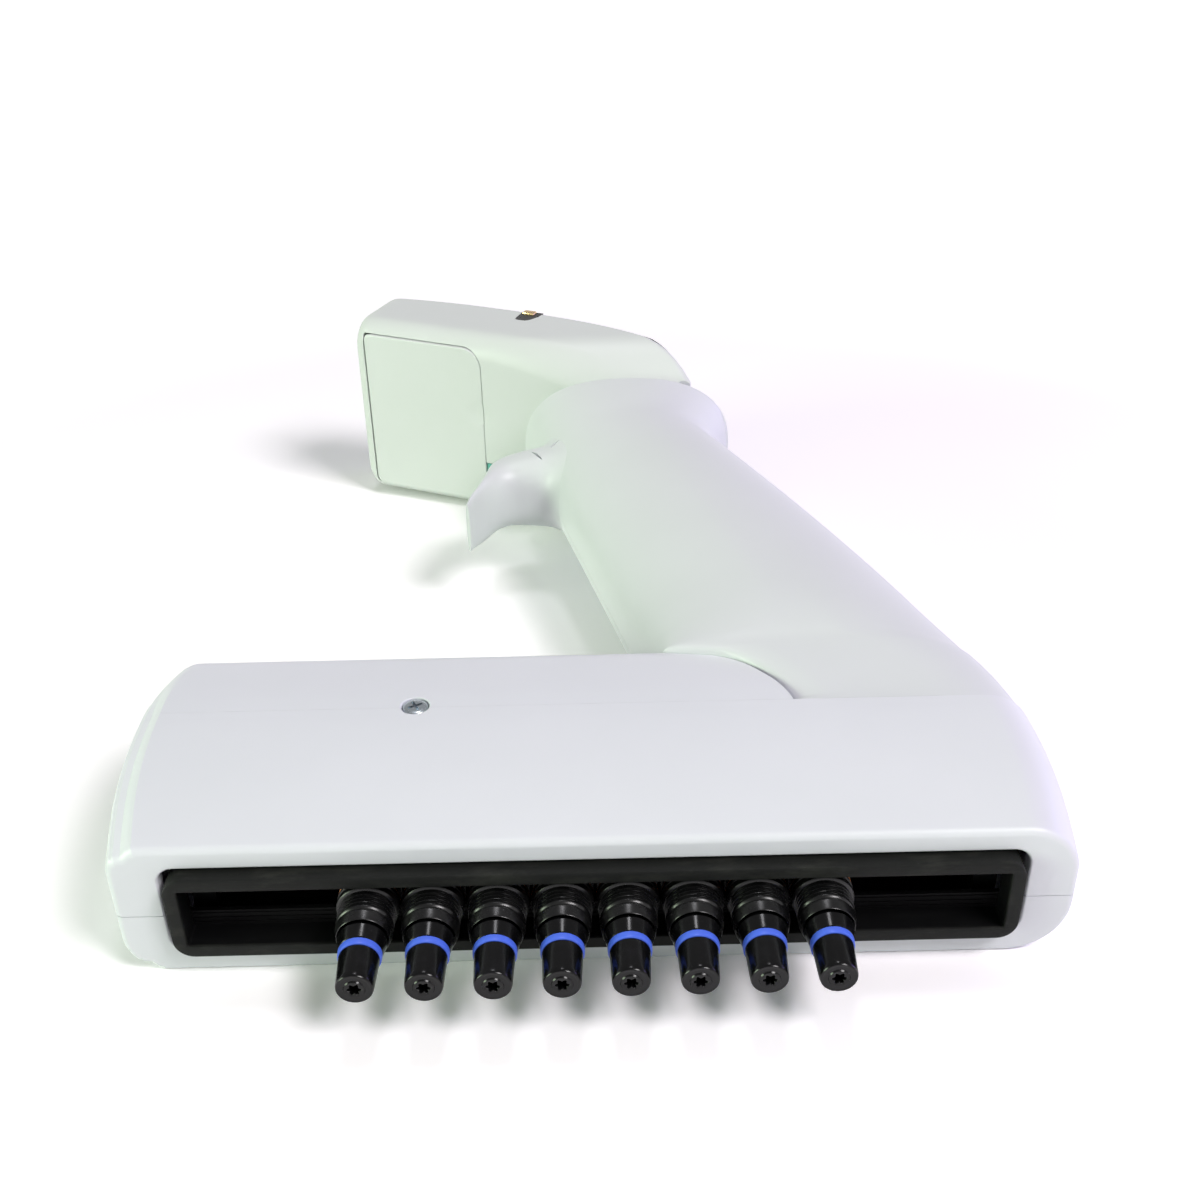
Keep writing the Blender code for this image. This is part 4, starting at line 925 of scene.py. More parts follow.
def hook_line(i):
    """A side line of the hook: out of the handle's wall, through the fillet, to the tip."""
    root = hook_root(i)
    corner = hook_point(root, i)
    middle = (hook_point(root, 0) + hook_point(root, HOOK_SIDES // 2)) / 2
    away = Vector((0, corner.y - middle.y, corner.z - middle.z)).normalized()
    reach = FILLET_SIDE + (FILLET_INNER - FILLET_SIDE) * max(0.0, -away.y) \
        + (FILLET_OUTER - FILLET_SIDE) * max(0.0, away.y)
    start = root + reach / STATION_MM
    free = hook_point(start, i)
    landing = corner + away * reach
    landing.x = handle_side(landing.y, landing.z) + 0.04
    line = [landing + Vector((1.4, 0, 0)), landing]
    for k in range(1, FILLET_LOOPS + 1):
        u = k / FILLET_LOOPS
        line.append(landing * (1 - u) ** 2 + corner * 2 * u * (1 - u) + free * u * u)
    last = len(HOOK_STATIONS) - 1.001
    return line + [hook_point(start + (last - start) * k / ARM_LOOPS, i)
                   for k in range(1, ARM_LOOPS + 1)]


# %% The slits at the hook's root
SLIT_NORMAL, SLIT_HALF, SLIT_IN, SLIT_OUT = Vector((-0.25, -0.15, 0.95)), 0.26, 0.8, 1.0
SLITS = (((-11.7, 142.4, 8.3), (-10.91, 141.38, 8.31), (-10.2, 140.35, 8.15),
          (-9.5, 139.33, 7.95)),
         ((-7.46, 142.64, 9.02), (-6.98, 143.4, 9.25), (-6.49, 144.07, 9.47),
          (-5.53, 144.34, 10.02)))


def slit(path):
    """A thin tapered blade along a path: it opens a slit in what it meets."""
    rings = []
    for i, point in enumerate(path):
        along = (Vector(path[min(i + 1, len(path) - 1)]) - Vector(path[max(i - 1, 0)]))
        wide = along.cross(SLIT_NORMAL).normalized() * SLIT_HALF
        wide *= 0.15 + 0.85 * math.sin(math.pi * (i + 0.5) / len(path))
        rings.append([Vector(point) + SLIT_NORMAL * reach + wide * side
                      for reach, side in ((-SLIT_IN, -1), (SLIT_OUT, -1), (SLIT_OUT, 1),
                                          (-SLIT_IN, 1))])
    return skin(rings)


hook_lines = [hook_line(i) for i in range(HOOK_SIDES)]
hook = skin([list(loop) for loop in zip(*hook_lines)])
for path in SLITS:
    hook = carve(hook, slit(path))
finish_piece(hook, "finger_hook_blade", body_abs, "housing", ["finger_hook"])
print("hook from", len(HOOK_STATIONS), "stations")

# %% [markdown]
# ## The head
#
# The head is a hollow slab. The side with the battery door is broadly rounded, the
# display side has a crisp edge, and towards the collar the sides sweep in. It is skinned
# along its own length, cut off level with the collar's rim and joined to a neck that
# stands inside the collar. The openings are then cut from outside.

# %% The head's outlines
HEAD_THICK, HEAD_HALF = 20.4, 21.86
HEAD_LEFT, HEAD_RIGHT, HEAD_CROWN = 33.8, 47.0, 8.0
DOOR_SIDE_R, DISPLAY_SIDE_R = 5.5, 1.8
NECK_HALF, HEAD_SWEEP = 14.4, 11.5
END_ROUND = 4.2
LEFT_FALL, RIGHT_FALL = 2.4, 11.4


def head_top(h):
    """The display side's height over the door side, along the head."""
    if h < -HEAD_CROWN:
        return HEAD_THICK - LEFT_FALL * ((h + HEAD_CROWN) / (HEAD_LEFT - HEAD_CROWN)) ** 2
    share = (h + HEAD_CROWN) / (HEAD_RIGHT + 1 + HEAD_CROWN)
    return HEAD_THICK - RIGHT_FALL * share ** 3


def head_width(h, n):
    """Half the head's width: it sweeps in to the collar just above the rim."""
    y = HEAD_Y - h * math.sin(HEAD_TILT) + n * math.cos(HEAD_TILT)
    low = 1 - min(1.0, max(0.0, (y - RIM_Y) / HEAD_SWEEP))
    return HEAD_HALF - (HEAD_HALF - NECK_HALF) * low ** 2


def head_outline(h, inset=0.0, shrink=0.0):
    """The head's outline across its length."""
    half = HEAD_HALF - inset - shrink
    door_r = max(1.5, DOOR_SIDE_R - inset)
    edge_r = max(0.8, DISPLAY_SIDE_R - inset)
    top = head_top(h) - inset - shrink
    steps, pieces = 10, 8
    side = rounded(inset + shrink, top, -half, half, [edge_r, door_r, door_r, edge_r],
                   steps)
    points = []
    for i, (n, z) in enumerate(side):
        z *= (head_width(h, n) - inset) / (HEAD_HALF - inset)
        points.append(Vector((h, n, z)))
        if i % (steps + 1) == steps:
            next_n, next_z = side[(i + 1) % len(side)]
            next_z *= (head_width(h, next_n) - inset) / (HEAD_HALF - inset)
            for k in range(1, pieces):
                mid_n = n + (next_n - n) * k / pieces
                mid_z = z + (next_z - z) * k / pieces
                if i % (2 * steps + 2) == steps:
                    mid_z = math.copysign(head_width(h, mid_n) - inset - shrink, mid_z)
                points.append(Vector((h, mid_n, mid_z)))
    return points


def head_end(d):
    """How far the rounded end has pulled in at a distance from it."""
    d = min(d, END_ROUND)
    return END_ROUND - math.sqrt(END_ROUND ** 2 - (END_ROUND - d) ** 2)


# %% The head's casing
END_LOOPS = (0, 0.12, 0.4, 0.85, 1.4, 2.1, 3.0, END_ROUND)
head_run = [head_outline(-HEAD_LEFT + d, 0, head_end(d)) for d in END_LOOPS]
head_run += [head_outline(h) for h in spaced(-HEAD_LEFT + 6, HEAD_RIGHT, 34)]
casing = moved(skin(head_run), ALONG_HEAD)
geometry = casing.verts[:] + casing.edges[:] + casing.faces[:]
bmesh.ops.bisect_plane(casing, geom=geometry, dist=WELD, plane_co=(0, RIM_Y + 0.25, 0),
                       plane_no=(0, 1, 0), clear_inner=True)
cap(casing)


def neck_run(inset, low, high):
    """The neck's sections inside the collar."""
    at_rim = handle_outline(RIM_Y - 2, HANDLE_WALL + 0.5 + inset, 64)
    above = handle_outline(RIM_Y - 2, HANDLE_WALL + 1.9 + inset, 64)
    return [[Vector((p.x, y, p.z)) for p in ring]
            for ring, y in ((at_rim, low), (at_rim, RIM_Y + 0.4), (above, high))]


casing = carve(casing, skin(neck_run(0, RIM_Y - 4.5, RIM_Y + 3.5)), "UNION")
hollow = skin([head_outline(-HEAD_LEFT + WALL, WALL, 1.0)]
              + [head_outline(h, WALL) for h in spaced(-HEAD_LEFT + 4.4, 37, 16)])
casing = carve(casing, moved(hollow, ALONG_HEAD))
casing = carve(casing, skin(neck_run(WALL, RIM_Y - 8, RIM_Y + 1.3)))
print("casing faces", len(casing.faces))

# %% [markdown]
# The door sits in an opening with a seam all round, wider at the hinge end, where the
# door's edge swings. Two fine grooves carry its long seams on over the rounded end. The
# latch shows as a small teal pad beside it. A shallow dish across the seam gives the thumb
# a start: the same ball is cut from the casing and the door, so the dish runs on.

# %% Sizes of the head's openings
DOOR_LEFT, DOOR_HALF, DOOR_THICK, DOOR_R, DOOR_END_R = 30.0, 19.0, 1.8, 5.0, 1.5
DOOR_SEAM, HINGE_PLAY, END_SHARPER = 0.16, 2.1, 5
DISH_R, DISH_AT = 24, (-1.2, -23.72, 3.4)
LATCH_Z, LATCH_HALF, LATCH_DEPTH = -13.0, 4.0, 4.4
CONTACT_H, CONTACT_HALF, CONTACT_DROP = 4.2, 2.9, 1.9
CONTACT_N = head_top(CONTACT_H) - CONTACT_DROP
BEZEL_LEFT, BEZEL_RIGHT, BEZEL_HALF, BEZEL_THICK = 31.0, 45.6, 21.1, 1.3
BEZEL_PROUD, BEZEL_PLAY, BEZEL_LOOPS = 0.12, 0.12, 40
WHEEL_H, WHEEL_R = 7.5, 10.5
BUTTON_U, BUTTON_R = 8.0, 6.0
BUTTON_TOP = (HEAD_Y - HANDLE_AXIS[1]) / math.cos(LEAN) + 3.8


# %% Shapes that open the head
def door_outline(n, out):
    """The door's outline at a depth, larger all round by a clearance."""
    inner, end = DOOR_R - 0.5 + out, DOOR_END_R - END_SHARPER * out
    points = rounded(-DOOR_LEFT - out * HINGE_PLAY, out, -DOOR_HALF - out, DOOR_HALF + out,
                     [inner, end, end, inner], 10)
    return [Vector((h, n, z)) for h, z in points]


def groove(side):
    """A fine groove along one long seam of the door, over the head's rounded end."""
    run = []
    for h in spaced(-HEAD_LEFT + 0.15, -DOOR_LEFT + 0.5, 10):
        n = head_end(h + HEAD_LEFT) + 0.22
        run.append([Vector((h, n * k - 2 * (1 - k), side * DOOR_HALF + 0.07 * w))
                    for k, w in ((0, -1), (1, -1), (1, 1), (0, 1))])
    return skin(run)


def dish():
    """The shallow thumb dish, as a large ball that just touches both pieces."""
    bm = bmesh.new()
    bmesh.ops.create_uvsphere(bm, u_segments=96, v_segments=64, radius=DISH_R)
    bmesh.ops.translate(bm, vec=DISH_AT, verts=bm.verts[:])
    return bm


def display_plate(left, right, low, high, half, edge, steps=24):
    """A plate that follows the display side between two heights over it."""
    run = []
    for h in spaced(left, right, steps):
        top = head_top(h)
        z = min(half, head_width(h, top - 1.2) - edge)
        face = top + high * smooth((h - 2) / 12) if high < 1 else top + high
        run.append([Vector((h, top + low, -z)), Vector((h, face, -z)),
                    Vector((h, face, z)), Vector((h, top + low, z))])
    return skin(run)


def contact_shape(out, low, high):
    """The contact's insert: wide at the display's edge, narrow and rounded below."""
    right = CONTACT_H + CONTACT_HALF
    outline = ((2.2, 1.2), (2.3, -3.4), (2.6, -4.2), (3.3, -4.5), (5.0, -4.4), (5.7, -3.8),
               (6.3, -2.6), (right - 0.2, -1.2), (right, 1.2))
    middle = Vector((4.6, -1.2))
    grown = [Vector(p) + (Vector(p) - middle).normalized() * out for p in outline]
    return skin([[Vector((h, CONTACT_N + n, z)) for h, n in grown] for z in (low, high)])


def button_bore(matrix):
    """The hole for the thumb button, placed by a matrix."""
    return moved(rod(BUTTON_R + 0.35, (BUTTON_U, BUTTON_TOP - 14, 0),
                     (BUTTON_U, BUTTON_TOP + 10, 0), 64), matrix)


# %% Open the casing
openings = [
    skin([door_outline(-2, DOOR_SEAM), door_outline(4.4, DOOR_SEAM)]),
    groove(-1), groove(1), dish(),
    block((0.0, LATCH_DEPTH + 1.95), (-2, 3.4),
          (LATCH_Z - LATCH_HALF - 0.2, LATCH_Z + LATCH_HALF + 0.2), 0.15),
    contact_shape(0.12, HEAD_HALF - 1.5, HEAD_HALF + 8),
    display_plate(-BEZEL_LEFT - BEZEL_PLAY, BEZEL_RIGHT + BEZEL_PLAY, -BEZEL_THICK - 0.1,
                  3.0, BEZEL_HALF + BEZEL_PLAY, 0.38, BEZEL_LOOPS),
    block((-27.4, WHEEL_H + WHEEL_R + 0.3), (14, 30), (-17.8, 17.8), 0.5)]
for opening in openings:
    casing = carve(casing, moved(opening, ALONG_HEAD))
casing = carve(casing, button_bore(ALONG_HANDLE))
finish_piece(casing, "head_casing", head_abs_painted_shade, "housing", ["head_shell"])
print("head cut with", len(openings) + 1, "openings")

# %% Battery door and latch
LID_EDGE_R = 0.3
lid = skin([door_outline(DOOR_THICK, -0.1), door_outline(LID_EDGE_R, 0)]
           + [door_outline(LID_EDGE_R * (1 - math.sin(a)), -LID_EDGE_R * (1 - math.cos(a)))
              for a in (math.pi / 6, math.pi / 3, math.pi / 2)])
lid = carve(lid, dish())
finish_piece(lid, "battery_lid", head_abs_painted_shade, "battery_door", ["battery_door"], ALONG_HEAD)
catch = block((0.3, LATCH_DEPTH + 0.3), (0.0, 3.2),
              (LATCH_Z - LATCH_HALF, LATCH_Z + LATCH_HALF), 0.25)
for k in (-1, 0, 1):
    catch = carve(catch, block((1.7 + 0.9 * k, 2.05 + 0.9 * k), (-1, 0.25),
                               (LATCH_Z - 3, LATCH_Z + 3)))
tongue = block((-1.2, 2.0), (2.15, 3.15), (LATCH_Z - 2, LATCH_Z + 2), 0.1)
catch = carve(catch, tongue, "UNION")
finish_piece(catch, "lid_catch", teal_abs, "door_latch", ["door_latch"], ALONG_HEAD)
print("door and latch")

# %% [markdown]
# ## Charging contacts
#
# A black insert on the head's upper side, wide at the display's edge and rounded below,
# carries a gold plated pad that meets a pin of the charging stand.

# %% Contact insert and pad
PAD_HALF, PAD_TALL, PAD_RISE, PAD_SHIFT = 1.5, 1.9, 1.3, -0.2
insert = contact_shape(0.0, HEAD_HALF - 1.3, HEAD_HALF - 0.02)
finish_piece(insert, "contact_insert", ribbed_black, "housing", ["contact_block"],
             ALONG_HEAD)
pad_h, pad_n = CONTACT_H + PAD_SHIFT, CONTACT_N + PAD_RISE
pad = block((pad_h - PAD_HALF, pad_h + PAD_HALF), (pad_n - PAD_TALL, pad_n),
            (HEAD_HALF - 0.9, HEAD_HALF + 0.35), 0.3)
finish_piece(pad, "contact_pad", gold_plate, "housing", where=ALONG_HEAD)
print("insert and pad")

# %% [markdown]
# ## The display side
#
# A thin black bezel lies in the casing round the display window. Towards its right end it
# stands a hair proud. There it holds a touch ring with its centre button and two small
# keys: turned pieces with a dished face.

# %% Bezel and window
KEY_H, KEY_Z, KEY_R, KEY_PLAY = -1.2, 14.5, 2.6, 0.25
bezel = display_plate(-BEZEL_LEFT, BEZEL_RIGHT, -BEZEL_THICK, BEZEL_PROUD, BEZEL_HALF, 0.5,
                      BEZEL_LOOPS)
bezel = carve(bezel, block((-27.2, -6.3), (10, 30), (-16.2, 16.2), 0.4))
for h, z, r in ((WHEEL_H, 0, WHEEL_R), (KEY_H, KEY_Z, KEY_R), (KEY_H, -KEY_Z, KEY_R)):
    bezel = carve(bezel, rod(r + KEY_PLAY, (h, 12, z), (h, 30, z)))
bezel = carve(bezel, button_bore(ALONG_HEAD.inverted() @ ALONG_HANDLE))
finish_piece(bezel, "bezel_plate", polished_black, "housing", ["display_bezel"],
             ALONG_HEAD)
window = display_plate(-27.0, -6.5, -BEZEL_THICK, 0.0, 16.0, 0.0)
finish_piece(window, "display_glass", dark_acrylic, "housing", ["display_window"],
             ALONG_HEAD)
print("bezel and window")

# %% Ring and keys
KEY_EDGE_R = 0.3


def key_top(r, low, high, dish_depth, inner=0.0):
    """A turned key with a rounded rim and a dished face, its top at a height."""
    profile = [(inner, low), (r, low)]
    for i in range(5):
        a = math.pi / 8 * i
        profile.append((r - KEY_EDGE_R + KEY_EDGE_R * math.cos(a),
                        high - KEY_EDGE_R + KEY_EDGE_R * math.sin(a)))
    if inner:
        profile += [(inner + KEY_EDGE_R, high), (inner, high - KEY_EDGE_R)]
    else:
        profile += [(r * 0.6, high - dish_depth * 0.7), (0, high - dish_depth)]
    return turned(profile)


for name, h, z, r, inner, base, body, node in (
        ("touch_ring", WHEEL_H, 0, WHEEL_R, 5.5, 15.9, "housing", "touch_wheel"),
        ("centre_key", WHEEL_H, 0, 4.7, 0, 16.6, "ok_button", "ok_button"),
        ("side_key_left", KEY_H, KEY_Z, KEY_R, 0, 16.6, "left_key", "left_key"),
        ("side_key_right", KEY_H, -KEY_Z, KEY_R, 0, 16.6, "right_key", "right_key")):
    key = key_top(r, base, head_top(h) + 0.9, 0.35, inner)
    bmesh.ops.translate(key, vec=(h, 0, z), verts=key.verts[:])
    finish_piece(key, name, grey_abs, body, [node], ALONG_HEAD)
print("touch ring and keys")

# %% [markdown]
# ## The thumb button
#
# The ejector button is a short round post whose top slopes with the display side. The
# thumb pushes it down along the handle.

# %% Thumb button
STEM, STEM_R, POST_CAP, TOP_SLOPE = 26.0, 2.2, 9.5, 0.55
post = turned([(0, BUTTON_TOP - STEM), (STEM_R, BUTTON_TOP - STEM),
               (STEM_R, BUTTON_TOP - POST_CAP), (BUTTON_R - 0.3, BUTTON_TOP - POST_CAP),
               (BUTTON_R, BUTTON_TOP - POST_CAP + 0.3), (BUTTON_R, BUTTON_TOP),
               (0, BUTTON_TOP)])
slope = block((-20, 20), (0, 20), (-20, 20))
bmesh.ops.rotate(slope, cent=(0, 0, 0), verts=slope.verts[:],
                 matrix=Matrix.Rotation(-(HEAD_TILT + LEAN) * TOP_SLOPE, 3, "Z"))
bmesh.ops.translate(slope, vec=(0, BUTTON_TOP - 1.5, 0), verts=slope.verts[:])
post = carve(post, slope)
bmesh.ops.translate(post, vec=(BUTTON_U, 0, 0), verts=post.verts[:])
finish_piece(post, "thumb_button", grey_abs, "ejector_button", ["ejector_button"],
             ALONG_HANDLE)
print("button top at", round(BUTTON_TOP, 1), "mm up the handle")

# %% [markdown]
# ## The ejector frame
#
# The black frame stands a little out of the slot. When it moves towards the tips it pushes
# them off. Its rim is one skin, from the back over the front edge and round again. Inside
# it, and riding with it, lies a liner with a slotted floor, on which three thin rails run
# under the slot.

# %% Skin the tray
FRAME_Y, FRAME_BAR, FLOOR_Y, TRAY_BACK = 13.47, 2.05, 17.9, 18.6
LINER_Y, LINER_LAP = FRAME_Y + 0.5, 0.28
RIM_BAR, RIM_R, FLOOR_R = FRAME_BAR - 0.3, 0.45, 0.3
FLOOR_SLOT_X, FLOOR_SLOT_LOW, FLOOR_SLOT_TOP = 57.4, -2.3, 4.9
RAILS = ((-4.3, 0.7), (-3.5, 0.35), (-2.7, 0.5))


def tray_outline(y, bar):
    """The frame's outline at a height, its walls thinner by a bar's width."""
    return at_y(rounded(-FRAME_HALF_X + bar, FRAME_HALF_X - bar, -FRAME_HALF_Z + bar,
                        FRAME_HALF_Z - bar, [max(0.35, FRAME_R - bar * 1.4)] * 4, 8), y)


def floor_outline(y):
    """The floor's slot, in which the nozzles slide."""
    return at_y(rounded(-FLOOR_SLOT_X, FLOOR_SLOT_X, FLOOR_SLOT_LOW, FLOOR_SLOT_TOP,
                        [FLOOR_R] * 4, 8), y)


rim_run = ((TRAY_BACK, RIM_BAR), (LINER_Y, RIM_BAR), (LINER_Y, FRAME_BAR),
           (FRAME_Y + 0.25, FRAME_BAR), (FRAME_Y + 0.09, FRAME_BAR - 0.09),
           (FRAME_Y, RIM_BAR), (FRAME_Y, RIM_R), (FRAME_Y + 0.13, 0.13),
           (FRAME_Y + RIM_R, 0.0), (TRAY_BACK, 0.0), (TRAY_BACK, RIM_BAR))
tray = skin([tray_outline(y, bar) for y, bar in rim_run], ends=False)
finish_piece(tray, "ejector_tray", grained_black, "ejector_frame", ["ejector_frame"])
liner = skin([floor_outline(TRAY_BACK), floor_outline(FLOOR_Y),
              tray_outline(FLOOR_Y, FRAME_BAR), tray_outline(LINER_Y, FRAME_BAR),
              tray_outline(LINER_Y, FRAME_BAR - LINER_LAP),
              tray_outline(TRAY_BACK, FRAME_BAR - LINER_LAP), floor_outline(TRAY_BACK)],
             ends=False)
for z, tall in RAILS:
    rail = block((-FLOOR_SLOT_X + 0.6, FLOOR_SLOT_X - 0.6), (FLOOR_Y - tall, FLOOR_Y + 0.2),
                 (z - 0.16, z + 0.16), 0.05)
    liner = carve(liner, rail, "UNION")
finish_piece(liner, "tray_liner", inner_black, "ejector_frame")
print("tray", 2 * FRAME_HALF_X, "mm long")

# %% [markdown]
# ## Nozzles, rings and sleeves
#
# Each nozzle ends in a polished cone on which a tip is pushed. Its end face holds a small
# raised ring round a six-lobed socket for the tool that fits it. A blue ring marks the
# size, a glossy cone follows, and behind it a ribbed sleeve slides with the ejector. A
# copper coloured spring shows behind the sleeve's lip.
#
# The nozzle's end is skinned because the socket isn't round. Everything else is turned.

# %% The nozzle with its socket
NOZZLES, PITCH, ROUND = 8, 9.0, 72
SOCKET = ((0.80, 2.2), (0.80, 0.10), (0.86, 0.03))
LOBE = 0.17
NOZZLE_PROFILE = (
    # the raised ring round the socket and the end face's rounded edge
    (1.16, -0.02), (1.36, -0.02), (1.48, 0.16), (1.95, 0.17), (2.12, 0.16), (2.28, 0.12),
    (2.40, 0.14), (2.50, 0.26), (2.56, 0.52), (2.60, 0.95),
    # the cone for the tip, the groove for the ring, the cone behind it
    (2.77, 5.2), (2.75, 5.42), (2.45, 5.45), (2.45, 6.62), (2.92, 6.65), (3.00, 6.73),
    (3.38, 8.45), (3.43, 8.68), (3.36, 8.84), (3.05, 8.92),
    # the stem and the barb for the hose
    (2.90, 9.1), (2.90, 30.0), (1.2, 30.0), (1.2, 35.7))


def round_loop(r, y, lobe=0.0):
    """A circle round the nozzle's axis, or one that swells and shrinks six times."""
    points = []
    for i in range(ROUND):
        a = math.tau * i / ROUND
        swell = r + lobe * math.cos(6 * a)
        points.append(Vector((swell * math.cos(a), y, swell * math.sin(a))))
    return points


def nozzle_body():
    """A nozzle from the floor of its socket to its hose barb, with its carriage."""
    bm = skin([round_loop(r, y, LOBE) for r, y in SOCKET]
              + [round_loop(r, y) for r, y in NOZZLE_PROFILE])
    carriage = block((-4.35, 4.35), (18.9, 31.7), (-5.3, 5.6), 0.15)
    for z in (3.2, -3.2):
        carriage = carve(carriage, rod(1.65, (-8, 24.5, z), (8, 24.5, z), 32))
    pin = rod(1.0, (0, 30.1, 4.6), (0, 30.1, 7.6), 32)
    return carve(carve(bm, carriage, "UNION"), pin, "UNION")


# %% Ring, sleeve and spring profiles
ring_profile = [(2.52, 5.47), (2.84, 5.47), (2.93, 5.53), (2.97, 5.67), (3.01, 6.37),
                (2.98, 6.51), (2.88, 6.57), (2.52, 6.57)]
sleeve_profile = [(3.45, 16.6), (3.45, 9.4), (3.50, 9.22), (3.58, 9.2), (3.66, 9.28),
                  (3.96, 10.5), (3.98, 10.66), (3.90, 10.78), (3.74, 10.82), (3.74, 11.1),
                  (3.86, 11.2)]
RIBS, RIB_PITCH = 4, 0.72
for k in range(RIBS):
    foot = 11.45 + RIB_PITCH * k
    sleeve_profile += [(3.98, foot), (4.00, foot + 0.06), (3.98, foot + 0.30),
                       (3.80, foot + 0.38), (3.80, foot + 0.66)]
sleeve_profile += [(3.95, 14.3), (4.20, 14.4), (4.34, 14.55), (4.36, 14.8), (4.36, 15.4),
                   (4.22, 15.5), (4.22, 15.75), (4.36, 15.85), (4.36, 16.4), (4.2, 16.6)]
spring_profile = [(3.55, 16.66), (4.30, 16.66), (4.36, 16.72), (4.36, 16.80),
                  (4.30, 16.86), (3.55, 16.86)]

# %% Place the row
masters = {"tip_nozzle": nozzle_body(), "blue_ring": turned(ring_profile),
           "ribbed_sleeve": turned(sleeve_profile), "spring_end": turned(spring_profile)}
for i in range(NOZZLES):
    x = (i - (NOZZLES - 1) / 2) * PITCH
    number = str(i + 1)
    for name, finish, body, node in (
            ("tip_nozzle", polished_black, "fitting_", "nozzle_"),
            ("blue_ring", blue_pp, "fitting_", "colour_ring_"),
            ("ribbed_sleeve", ribbed_black, "sleeve_", "sleeve_"),
            ("spring_end", copper_wire, "fitting_", None)):
        finish_piece(masters[name].copy(), name + "_" + number, finish, body + number,
                     [node + number] if node else (), Matrix.Translation((x, 0, 0)))
for bm in masters.values():
    bm.free()
print(NOZZLES, "nozzles placed at a pitch of", PITCH, "mm")

# %% [markdown]
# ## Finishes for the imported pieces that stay
#
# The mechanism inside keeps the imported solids. They only need their own finishes.

# %% Dress the inner pieces
kept = (
    (ground_steel, ("guide_rod_top", "guide_rod_under", "spacing_screw", "piston_plate",
                    "lead_screw", "ejector_rod")),
    (grey_abs, ("spacing_plate", "spacing_motor", "cylinder_block", "piston_motor",
                "display_module")),
    (inner_black, ("nozzle_chassis",)),
    (board_lacquer, ("circuit_board",)),
    (cell_wrap, ("battery_pack",)))
for finish, nodes in kept:
    for node in nodes:
        mesh = frame["nodes"][node].data
        mesh.materials.clear()
        mesh.materials.append(finish)
print(sum(len(nodes) for finish, nodes in kept), "packed pieces dressed")

# %% [markdown]
# ## Table, light and camera
#
# The photograph is a studio picture on white. The table is a white sheet. The key light is
# a softbox high up at the right front, a small one hangs overhead, and two weaker ones at
# the sides are tinted, pale green on the left and lavender on the right, because the real
# casing mirrors coloured walls there. The world adds a weak even fill. What the camera and
# the reflections see of it is white near the horizon and grey higher up, so that the faces
# that mirror the ceiling keep their tone. A faint glow, seen only directly and stronger
# further out, keeps the sheet white to its edges.

# %% What is seen directly
def seen_directly(tree):
    """1 for what the camera sees itself, in a reflection or through glass, else 0."""
    ray = add(tree, "ShaderNodeLightPath").outputs
    mirrored = combine(tree, "MAXIMUM", ray["Is Glossy Ray"], ray["Is Transmission Ray"])
    return combine(tree, "MAXIMUM", ray["Is Camera Ray"], mirrored)


# %% A white table
PAPER_LIT, PAPER_SEEN = (0.9, 0.9, 0.9, 1), (1.26, 1.22, 1.26, 1)
GLOW_NEAR, GLOW_FAR = 0.20, 0.6
GLOW_LOW, GLOW_HIGH = 0.02, 0.9

floor_bm = bmesh.new()
bmesh.ops.create_grid(floor_bm, x_segments=1, y_segments=1, size=3.0)
floor_mesh = bpy.data.meshes.new("table_top")
floor_bm.to_mesh(floor_mesh)
floor_bm.free()
table = bpy.data.objects.new("table_top", floor_mesh)
bpy.context.scene.collection.objects.link(table)
white, tree, shader, place = new_material("white_table", Roughness=0.8,
                                          Specular_IOR_Level=0.0)
direct = seen_directly(tree)
apart = add(tree, "ShaderNodeVectorMath", {0: place}, operation="LENGTH")
lift = ranged(tree, apart.outputs["Value"], GLOW_LOW, GLOW_HIGH, GLOW_NEAR, GLOW_FAR)
feed(tree, shader, {"Base Color": blend(tree, direct, PAPER_LIT, PAPER_SEEN),
                    "Emission Color": (1, 1, 1, 1),
                    "Emission Strength": combine(tree, "MULTIPLY", direct, lift)})
floor_mesh.materials.append(white)
print("table ready")

# %% A fill from all round
FILL, CEILING = 0.19, 0.35
HORIZON_END, CEILING_START = 0.25, 0.5

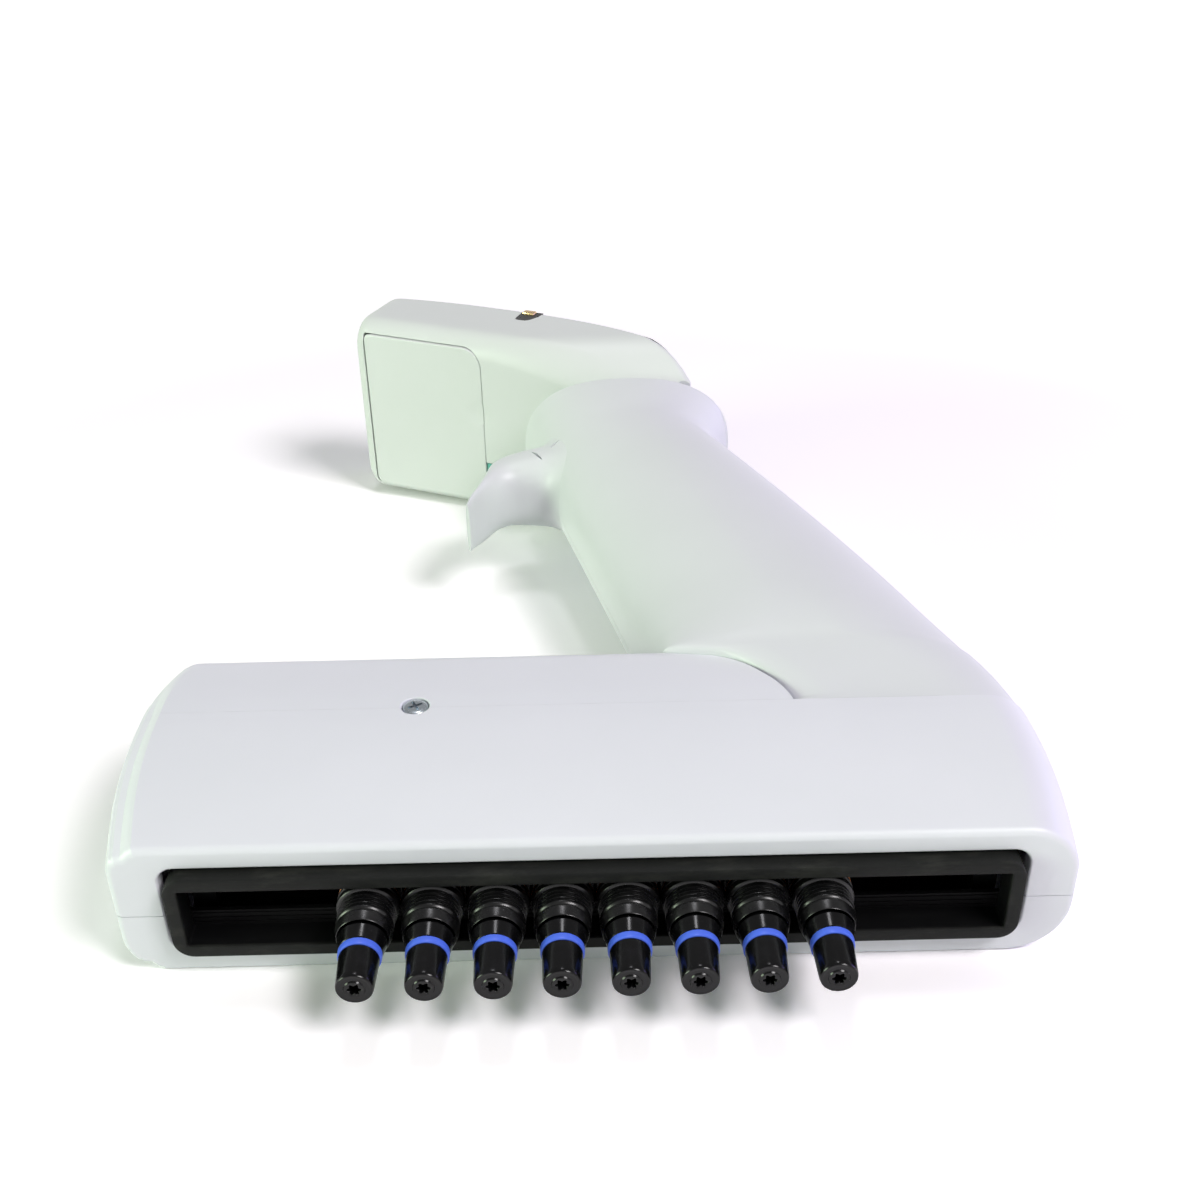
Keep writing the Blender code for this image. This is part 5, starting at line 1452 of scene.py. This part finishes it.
world = bpy.data.worlds.new("studio")
bpy.context.scene.world = world
world.use_nodes = True
tree = world.node_tree
looking = add(tree, "ShaderNodeTexCoord").outputs["Generated"]
height = add(tree, "ShaderNodeSeparateXYZ", {"Vector": looking}).outputs["Z"]
backdrop = ranged(tree, height, 1.0, CEILING, HORIZON_END, CEILING_START)
strength = add(tree, "ShaderNodeMix", {"Factor": seen_directly(tree), "A": FILL,
                                       "B": backdrop})
feed(tree, tree.nodes["Background"], {"Color": (1.0, 0.98, 1.0, 1),
                                      "Strength": strength.outputs["Result"]})
print("fill", FILL)

# %% Soft lights
AIM = Vector((0, 0, 0.01))


def soft_light(name, position, size, watts, colour):
    """A square area light aimed at the pipette."""
    data = bpy.data.lights.new(name, "AREA")
    data.shape = "SQUARE"
    data.size = size
    data.energy = watts
    data.color = linear(colour)[:3]
    lamp = bpy.data.objects.new(name, data)
    lamp.location = position
    lamp.rotation_euler = (AIM - Vector(position)).to_track_quat("-Z", "Y").to_euler()
    bpy.context.scene.collection.objects.link(lamp)


soft_light("key_softbox", (0.74, -0.66, 1.12), 0.5, 15.0, "#FFFBFD")
soft_light("overhead_softbox", (0.0, 0.20, 0.98), 0.14, 1.1, "#FBFAFF")
soft_light("left_softbox", (-0.90, -0.36, 0.20), 0.4, 6.4, "#DFF7D4")
soft_light("right_softbox", (0.94, 0.24, 0.14), 0.4, 1.9, "#946CFF")
print("lights set")

# %% [markdown]
# The camera stands where the photograph's camera stood, worked out from the eight nozzle
# ends, which lie on one line 9 mm apart. Its frame is taken as 1200 by 1200 pixels.

# %% Camera
CAMERA_MM = (0.651, -134.158, 140.567)
CAMERA_DEGREES = (58.525, 0.955, -0.892)
SENSOR_MM, LENS_MM, CLIP_START = 36.0, 43.453, 0.005

camera_data = bpy.data.cameras.new("photo_camera")
camera_data.sensor_width = SENSOR_MM
camera_data.lens = LENS_MM
camera_data.clip_start = CLIP_START
camera = bpy.data.objects.new("photo_camera", camera_data)
bpy.context.scene.collection.objects.link(camera)
straight = LAY @ Matrix.Translation(CAMERA_MM)
aim = Matrix.Rotation(tilt, 4, "X") @ Euler(
    [math.radians(a) for a in CAMERA_DEGREES], "XYZ").to_matrix().to_4x4()
camera.matrix_world = Matrix.Translation(straight.to_translation()) @ aim
bpy.context.scene.camera = camera
bpy.context.scene.view_settings.view_transform = "Standard"
print("camera at", [round(c, 3) for c in camera.location])
